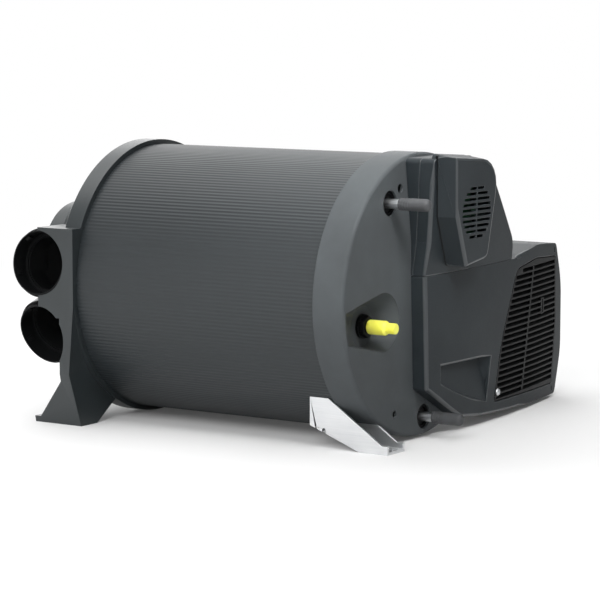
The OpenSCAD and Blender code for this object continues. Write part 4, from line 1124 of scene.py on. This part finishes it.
@dataclass
class Covers:
    """Upper cover with its raised panel and round vent, its back frame, and the lower cover with the fan box."""

    face_x: float = 204.0
    face_r: float = 1700.0
    face_y: float = -20.0
    edge_mm: float = 3.6
    lip_mm: float = 3.0
    fine_mm: float = 0.5
    slot_mm: float = 0.3
    frame_mm: float = 0.6
    back_mm: float = 1.4
    merge_mm: float = 0.3
    # The rounds get a colour a little lighter than the cover's as a painted highlight on the edges; their lower
    # roughness and higher shine are real gloss.
    edge_highlight_finish: Finish = MouldedPlastic("painted_highlight_abs_edge", "262b2e", "2d3235", 0.34, shine=0.7)
    panel_end_y: float = 74.0
    vent_at: Pair = (33.5, 234.4)
    vent_r: float = 32.0
    vent_x: float = 215.0
    seam_z: float = 171.0
    seam_wide: float = 2.5
    rim_x: float = 191.0
    rim_rise: float = 0.14
    grille_seat: Patch = Patch((128.0, 326.0), (8.0, 172.5))
    grille_depth: float = 8.0
    recess: Patch = Patch((8.0, 132.0), (20.0, 80.0))
    lower_seam: Pair = (186.0, 168.5)
    wall_x: float = 188.0
    lean_deg: float = 8.0
    # Width and lean of the black strip of painted shade along the panel's foot.
    bead_mm: float = 1.6
    crease_shade_lean_deg: float = 45.0
    bend_steps: int = 5
    panel_foot: Sequence[Point] = ((-27.5, 125.5, 0.0), (-12.0, 61.0, 40.0), (19.0, 8.0, 6.0), (69.0, 15.8, 0.0))

    def face(self, y: float) -> float:
        """Where the bowed face of the lower cover lies at a distance across the drum."""
        return self.face_x - (y - self.face_y) ** 2 / (2 * self.face_r)

    def upper_width(self, middle: Vector) -> float:
        """Rounding of the upper cover: fine at the vent's slots and the seams, none on the slope beyond the panel."""
        if middle.y > self.panel_end_y:
            return 0.0
        from_vent = math.hypot(middle.y - self.vent_at[0], middle.z - self.vent_at[1])
        if from_vent < self.vent_r and middle.x > self.vent_x:
            return self.slot_mm
        up = middle.z - self.seam_z
        at_seam = up < self.seam_wide or middle.x < self.rim_x + up * self.rim_rise
        return self.fine_mm if at_seam else self.edge_mm

    def lower_width(self, middle: Vector) -> float:
        """Rounding of the lower cover: fine at the grille's seat and at the seams, fuller on the outside."""
        in_seat = self.grille_seat.holds(middle) and self.face(middle.y) - middle.x < self.grille_depth
        seam_y, seam_z = self.lower_seam
        if in_seat or (middle.z > seam_z and middle.y < seam_y) or middle.x < self.wall_x:
            return self.fine_mm
        return self.lip_mm if self.recess.holds(middle) else self.edge_mm

    def on_upper_face(self, y: float, up: float) -> Vector:
        """Point of the leaning upper face at a distance across the drum and up from the seam."""
        sine, cosine = math.sin(math.radians(self.lean_deg)), math.cos(math.radians(self.lean_deg))
        out = self.face(y) - self.face_x
        return Vector((self.face_x + out * cosine + up * sine, y, self.seam_z - out * sine + up * cosine))

    def panel_bead(self) -> None:
        """Lay a black strip in the corner along the foot of the raised panel, as painted shade in that corner."""
        flat = [Vector(corner[:2]) for corner in self.panel_foot]
        bends = [i / self.bend_steps for i in range(self.bend_steps + 1)]
        path = [flat[0]]
        for before, corner, after, (_, _, radius) in zip(flat, flat[1:], flat[2:], self.panel_foot[1:]):
            back, ahead = (before - corner).normalized(), (after - corner).normalized()
            reach = radius * math.tan((math.pi - back.angle(ahead)) / 2)
            start, end = corner + back * reach, corner + ahead * reach
            path += [start.lerp(corner, t).lerp(corner.lerp(end, t), t) for t in bends]
        path.append(flat[-1])
        line = [PLACE.metres(self.on_upper_face(p.x, p.y)) for p in path]
        # The black strip is painted shade in the corner at the panel's foot.
        black_blades("panel_bead", [line], self.bead_mm, self.bead_mm, self.crease_shade_lean_deg)

    def build(self) -> None:
        """Build the covers, with a painted highlight on their rounds, and dress what sits behind them."""
        self.panel_bead()
        # The rounds take the lighter plastic: a painted highlight along the covers' edges.
        highlight_rounds = self.edge_highlight_finish.material()
        for node, name, rule, merge_mm in (
            ("electronics_cover", "upper_cover", self.upper_width, 0.0),
            ("fan_housing", "lower_cover", self.lower_width, self.merge_mm),
            ("cover_base", "cover_back_frame", even(self.frame_mm), 0.0),
            ("fan_box_rear", "fan_box_back", even(self.back_mm), 0.0),
        ):
            cover = Rounding(rule, hollow_share=0.0, merge_mm=merge_mm).copy(node, name)
            rounds = [face.index for face in cover.data.polygons if face.material_index == Rounding.marked]
            finish_piece(cover, Slot.COVER, nodes=[node])
            cover.data.materials.append(highlight_rounds)
            for index in rounds:
                cover.data.polygons[index].material_index = Rounding.marked
        PAINT.dress_nodes({"control_board": Slot.LAMINATE, "board_standoffs": Slot.BRASS})


@dataclass
class Grille:
    """Intake grille with louvre blades behind its slots, and the fans behind it."""

    covers: Covers
    edge_mm: float = 0.3
    first_z: float = 25.0
    pitch: float = 6.2
    rows: int = 22
    blade_depth: float = 7.5
    blade_t: float = 1.1
    blade_step: float = 12.0
    lean_deg: float = 38.0
    behind: float = 4.6
    left_end: float = 1.5
    right_end: float = 5.5
    outline: Sequence[Pair] = (
        (135.5, 20.5),
        (153.5, 83.0),
        (197.0, 159.0),
        (258.0, 165.5),
        (326.0, 161.5),
        (329.0, 88.0),
        (315.5, 16.5),
    )

    def blade_line(self, z: float) -> list[Vector]:
        """Find the line of a blade behind the bowed face.

        Args:
            z: Height of the blade, inside the grille's outline.

        Returns:
            Its points in metres.
        """
        sides = zip(self.outline, [*self.outline[1:], self.outline[0]])
        hits = [y0 + (y1 - y0) * (z - z0) / (z1 - z0) for (y0, z0), (y1, z1) in sides if (z0 - z) * (z1 - z) < 0]
        left, right = min(hits) + self.left_end, max(hits) - self.right_end
        steps = max(2, int((right - left) / self.blade_step))
        across = [left + (right - left) * i / steps for i in range(steps + 1)]
        return [PLACE.metres((self.covers.face(y) - self.behind, y, z)) for y in across]

    def build(self) -> None:
        """Build the grille and its blades, and dress the fans."""
        Rounding(even(self.edge_mm), segments=2).replace("intake_grille", "intake_grille_plate", Slot.BLACK)
        lines = [self.blade_line(self.first_z + row * self.pitch) for row in range(self.rows)]
        black_blades("intake_louvres", lines, self.blade_depth, self.blade_t, self.lean_deg)
        PAINT.dress_nodes(
            {
                "circulation_fan_motor": Slot.MOTOR,
                "circulation_fan_bracket": Slot.STEEL,
                "circulation_fan_wheel": Slot.FAN,
                "combustion_fan_housing": Slot.ALUMINIUM,
                "combustion_fan_motor": Slot.MOTOR,
                "combustion_fan_wheel": Slot.ALUMINIUM,
            }
        )


@dataclass
class FeetAndScrews:
    """Bright metal foot and the screws that hold feet, box and grille."""

    edge_mm: float = 0.4
    shank_r: float = 2.0
    shank_len: float = 6.0
    head_r: float = 3.8
    head_h: float = 2.4
    neck: float = 1.0
    rim_h: float = 0.8
    head_sides: int = 32
    dome_deg: Sequence[float] = (25.0, 45.0, 62.0, 78.0)
    slot_w: float = 1.0
    slot_len: float = 4.4
    slot_depth: float = 1.3
    slot_foot_share: float = 0.7
    cutter_over: float = 0.6
    foot_at: Pair = (90.0, 144.0)

    def build(self) -> None:
        """Build the foot and replace the plain screws by domed ones."""
        Rounding(even(self.edge_mm), segments=2).replace("foot_front", "metal_foot", Slot.ALUMINIUM)
        head = self.head()
        recipe = SetScrews()
        for node, name in (
            ("foot_screws", "foot_screw_set"),
            ("box_screws", "box_screw_set"),
            ("grille_screw", "grille_screw_domed"),
        ):
            piece = recipe.run(points_mesh(name, self.screws_of(node)), Slot.STEEL, {"Head": head})
            finish_piece(piece, Slot.STEEL, nodes=[node])
        bpy.data.objects.remove(head)

    def screws_of(self, node: str) -> list[tuple[Vector, Vector]]:
        """Find the seat and the direction of each screw in a CAD node.

        Args:
            node: CAD node of one or more screws.

        Returns:
            Middle of the head's underside and the direction out of the head, for each screw.
        """
        shape = bmesh.new()
        shape.from_mesh(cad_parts[node].data)
        bmesh.ops.remove_doubles(shape, verts=shape.verts, dist=MERGE_M)
        screws = []
        seen: set[BMVert] = set()
        for first in shape.verts:
            points, stack = [], [first]
            while stack:
                vert = stack.pop()
                if vert not in seen:
                    seen.add(vert)
                    points.append(vert.co.copy())
                    stack += [edge.other_vert(vert) for edge in vert.link_edges]
            if points:
                screws.append(self.one_screw(points))
        shape.free()
        return sorted(screws, key=lambda screw: tuple(round(part, 5) for part in screw[0]))

    def one_screw(self, points: list[Vector]) -> tuple[Vector, Vector]:
        """Work out one screw's seat and direction from its points.

        A screw along the drum is taken to face +X. That holds for the grille's screw; the CAD heads of the box's
        four screws face -X.

        Args:
            points: All points of the screw.

        Returns:
            Middle of the head's underside and the direction out of the head.
        """
        middle = sum(points, Vector()) / len(points)
        away = [p - middle for p in points]
        ways = (ALONG_DRUM, self.foot_way())
        way = min(ways, key=lambda axis: max((gap - axis * gap.dot(axis)).length for gap in away))
        top = max(p.dot(way) for p in points)
        shank = [p for p in points if p.dot(way) < top - (self.head_h + self.neck) * MM]
        centre = sum(shank, Vector()) / len(shank)
        return centre + way * (top - self.head_h * MM - centre.dot(way)), way

    def foot_way(self) -> Vector:
        """Direction out of the drum, at the foot, in which the foot's screws stand."""
        turn = math.pi - math.asin(self.foot_at[0] / self.foot_at[1])
        return Vector((0.0, -math.sin(turn), math.cos(turn)))

    def head(self) -> Object:
        """Build one domed screw with a cross recess, standing on its seat along +Z.

        Returns:
            The template object.
        """
        sides, dome_h = self.head_sides, self.head_h - self.rim_h
        turns = [2 * math.pi * i / sides for i in range(sides)]
        profile = [(0.0, -self.shank_len), (self.shank_r, -self.shank_len), (self.shank_r, 0.0)]
        profile += [(self.head_r, 0.0), (self.head_r, self.rim_h)]
        for up in map(math.radians, self.dome_deg):
            profile.append((self.head_r * math.cos(up), self.rim_h + dome_h * math.sin(up)))
        profile.append((0.0, self.head_h))
        shape = bmesh.new()
        rings = []
        for r, z in profile:
            spots = [(r * MM * math.cos(turn), r * MM * math.sin(turn), z * MM) for turn in turns]
            rings.append([shape.verts.new(spot) for spot in (spots if r > 0.0 else spots[:1])])
        for low, high in zip(rings, rings[1:]):
            for i in range(sides):
                j = (i + 1) % sides
                corners = (low[i % len(low)], low[j % len(low)], high[j % len(high)], high[i % len(high)])
                shape.faces.new(list(dict.fromkeys(corners)))
        bmesh.ops.recalc_face_normals(shape, faces=shape.faces)
        screw = link_shape("screw_head", shape)
        cross = self.cross()
        cut = screw.modifiers.new("cross_recess", "BOOLEAN")
        cut.object = cross
        cut.operation = "DIFFERENCE"
        cut.solver = "EXACT"
        settle(screw)
        bpy.data.objects.remove(cross)
        return screw

    def cross(self) -> Object:
        """Build the cutter of the cross recess.

        Returns:
            The cutter.
        """
        half, wide = self.slot_len / 2, self.slot_w / 2
        arm = [(half, -wide), (half, wide), (wide, wide)]
        outline = []
        for _ in range(4):
            outline += arm
            arm = [(-y, x) for x, y in arm]
        shape = bmesh.new()
        rings = []
        for share, z in ((self.slot_foot_share, self.head_h - self.slot_depth), (1.0, self.head_h + self.cutter_over)):
            rings.append([shape.verts.new((x * MM * share, y * MM * share, z * MM)) for x, y in outline])
            shape.faces.new(rings[-1])
        low, high = rings
        for i, j in zip(range(-1, len(outline) - 1), range(len(outline))):
            shape.faces.new((low[i], low[j], high[j], high[i]))
        bmesh.ops.recalc_face_normals(shape, faces=shape.faces)
        return link_shape("cross_recess", shape)


@dataclass(frozen=True)
class Softbox:
    """Square lamp: its name, place in metres, target in the drum's frame, side, power and beam."""

    name: str
    place: Point
    target: Point
    size_m: float
    watts: float
    spread_deg: float = 180.0

    def hang(self) -> None:
        """Hang the lamp and face it to its target."""
        data = bpy.data.lights.new(self.name, "AREA")
        data.shape = "SQUARE"
        data.size = self.size_m
        data.energy = self.watts
        data.spread = math.radians(self.spread_deg)
        lamp = bpy.data.objects.new(self.name, data)
        lamp.location = self.place
        lamp.rotation_mode = "QUATERNION"
        lamp.rotation_quaternion = (PLACE.metres(self.target) - Vector(self.place)).to_track_quat("-Z", "Y")
        bpy.context.scene.collection.objects.link(lamp)


@dataclass
class Studio:
    """Pale floor, soft lamps and the camera."""

    eye: Point = (1548.5, -2257.2, 460.0)
    azimuth_deg: float = 33.804
    elevation_deg: float = 6.843
    lens: float = 154.8
    sensor: float = 36.0
    clip_m: Pair = (0.05, 200.0)
    floor_half_m: float = 30.0
    floor_hex: str = "e4e4e4"
    floor_glow: float = 0.05
    fade_m: Pair = (0.55, 1.6)
    mirrored_share: float = 0.15
    world_dim: float = 0.1
    world_light: float = 0.42
    world_band: float = 0.7
    world_from: Point = (-0.55, -0.45, 0.7)
    middle: ClassVar[Point] = (20.0, 60.0, 140.0)
    lamps: Sequence[Softbox] = (
        Softbox("key_softbox", (-0.7, -2.5, 0.7), middle, 1.8, 16.0),
        Softbox("top_softbox", (-0.3, 0.1, 2.4), middle, 3.2, 66.0),
        Softbox("back_softbox", (-1.7, 1.9, 1.1), middle, 2.0, 26.0),
        Softbox("front_wash", (0.5, -1.8, 1.2), (280.0, -500.0, 0.0), 1.0, 19.0),
        Softbox("end_softbox", (0.46, -0.36, 0.66), (186.0, -45.0, 310.0), 0.3, 0.36, 35.0),
    )

    def build(self) -> None:
        """Build the stage."""
        bpy.context.scene.view_settings.view_transform = "Standard"
        self.camera()
        self.floor()
        self.world()
        for lamp in self.lamps:
            lamp.hang()

    def camera(self) -> None:
        """Stand the camera where the photograph was taken from."""
        data = bpy.data.cameras.new("camera")
        data.lens = self.lens
        data.sensor_width = self.sensor
        data.clip_start, data.clip_end = self.clip_m
        view = bpy.data.objects.new("camera", data)
        bpy.context.scene.collection.objects.link(view)
        a, e = math.radians(self.azimuth_deg), math.radians(self.elevation_deg)
        back = Vector((math.sin(a) * math.cos(e), -math.cos(a) * math.cos(e), math.sin(e)))
        view.location = PLACE.metres(self.eye)
        view.rotation_mode = "QUATERNION"
        view.rotation_quaternion = (-back).to_track_quat("-Z", "Y")
        bpy.context.scene.camera = view

    def seen_straight(self, tree: NodeTree, path: Node) -> Node:
        """Tell what is seen straight or through clear pieces from what only lights the scene."""
        return calculate(tree, "MAXIMUM", path.outputs["Is Camera Ray"], path.outputs["Is Transmission Ray"])

    def floor(self) -> None:
        """Lay a pale floor that keeps the shadow near the object and runs out to white."""
        h = self.floor_half_m
        mesh = bpy.data.meshes.new("floor")
        mesh.from_pydata([(-h, -h, 0), (h, -h, 0), (h, h, 0), (-h, h, 0)], [], [(0, 1, 2, 3)])
        floor = link_mesh("floor", mesh)
        paper = blank_material("pale_studio_paper")
        tree = paper.node_tree
        coords = add_node(tree, "ShaderNodeTexCoord").outputs["Object"]
        away = add_node(tree, "ShaderNodeVectorMath", {0: coords}, operation="LENGTH").outputs["Value"]
        ends = {"Value": away, "From Min": self.fade_m[0], "From Max": self.fade_m[1]}
        fade = add_node(tree, "ShaderNodeMapRange", ends, interpolation_type="SMOOTHSTEP")
        path = add_node(tree, "ShaderNodeLightPath")
        straight, mirrored = self.seen_straight(tree, path), path.outputs["Is Glossy Ray"]
        seen = calculate(tree, "MULTIPLY_ADD", mirrored, self.mirrored_share, straight, use_clamp=True)
        glow = calculate(tree, "MULTIPLY", seen, self.floor_glow)
        diffuse = add_node(tree, "ShaderNodeBsdfDiffuse", {"Color": linear(self.floor_hex)})
        lift = add_node(tree, "ShaderNodeEmission", {"Color": WHITE, "Strength": glow})
        near = add_node(tree, "ShaderNodeAddShader", {0: diffuse, 1: lift})
        white = add_node(tree, "ShaderNodeEmission", {"Color": WHITE, "Strength": 1.0})
        share = calculate(tree, "MULTIPLY", fade, seen)
        mixed = add_node(tree, "ShaderNodeMixShader", {"Fac": share, 1: near, 2: white})
        add_node(tree, "ShaderNodeOutputMaterial", {"Surface": mixed})
        mesh.materials.append(paper)

    def world(self) -> None:
        """Soft light from all round, stronger from the left, the front and above, and white where it is seen."""
        world = bpy.data.worlds.new("studio")
        world.use_nodes = True
        bpy.context.scene.world = world
        tree = world.node_tree
        tree.nodes.clear()
        seen = self.seen_straight(tree, add_node(tree, "ShaderNodeLightPath"))
        way = {0: add_node(tree, "ShaderNodeTexCoord"), 1: Vector(self.world_from).normalized()}
        side = add_node(tree, "ShaderNodeVectorMath", way, operation="DOT_PRODUCT").outputs["Value"]
        band = {"Value": side, "From Min": -self.world_band, "From Max": self.world_band}
        lit = add_node(tree, "ShaderNodeMapRange", band | {"To Min": self.world_dim, "To Max": self.world_light})
        sky = add_node(tree, "ShaderNodeBackground", {"Color": WHITE, "Strength": blend(tree, seen, lit, 1.0)})
        add_node(tree, "ShaderNodeOutputWorld", {"Surface": sky})


def main() -> None:
    """Build the stage and every sub-assembly in order."""
    logging.basicConfig(level=logging.INFO, format="%(name)s: %(message)s")
    Studio().build()
    covers = Covers()
    for assembly in (OutletEnd(), Drum(), ConnectionEnd(), covers, Grille(covers), FeetAndScrews()):
        LOG.info("building %s", type(assembly).__name__)
        assembly.build()


if __name__ == "__main__":
    main()
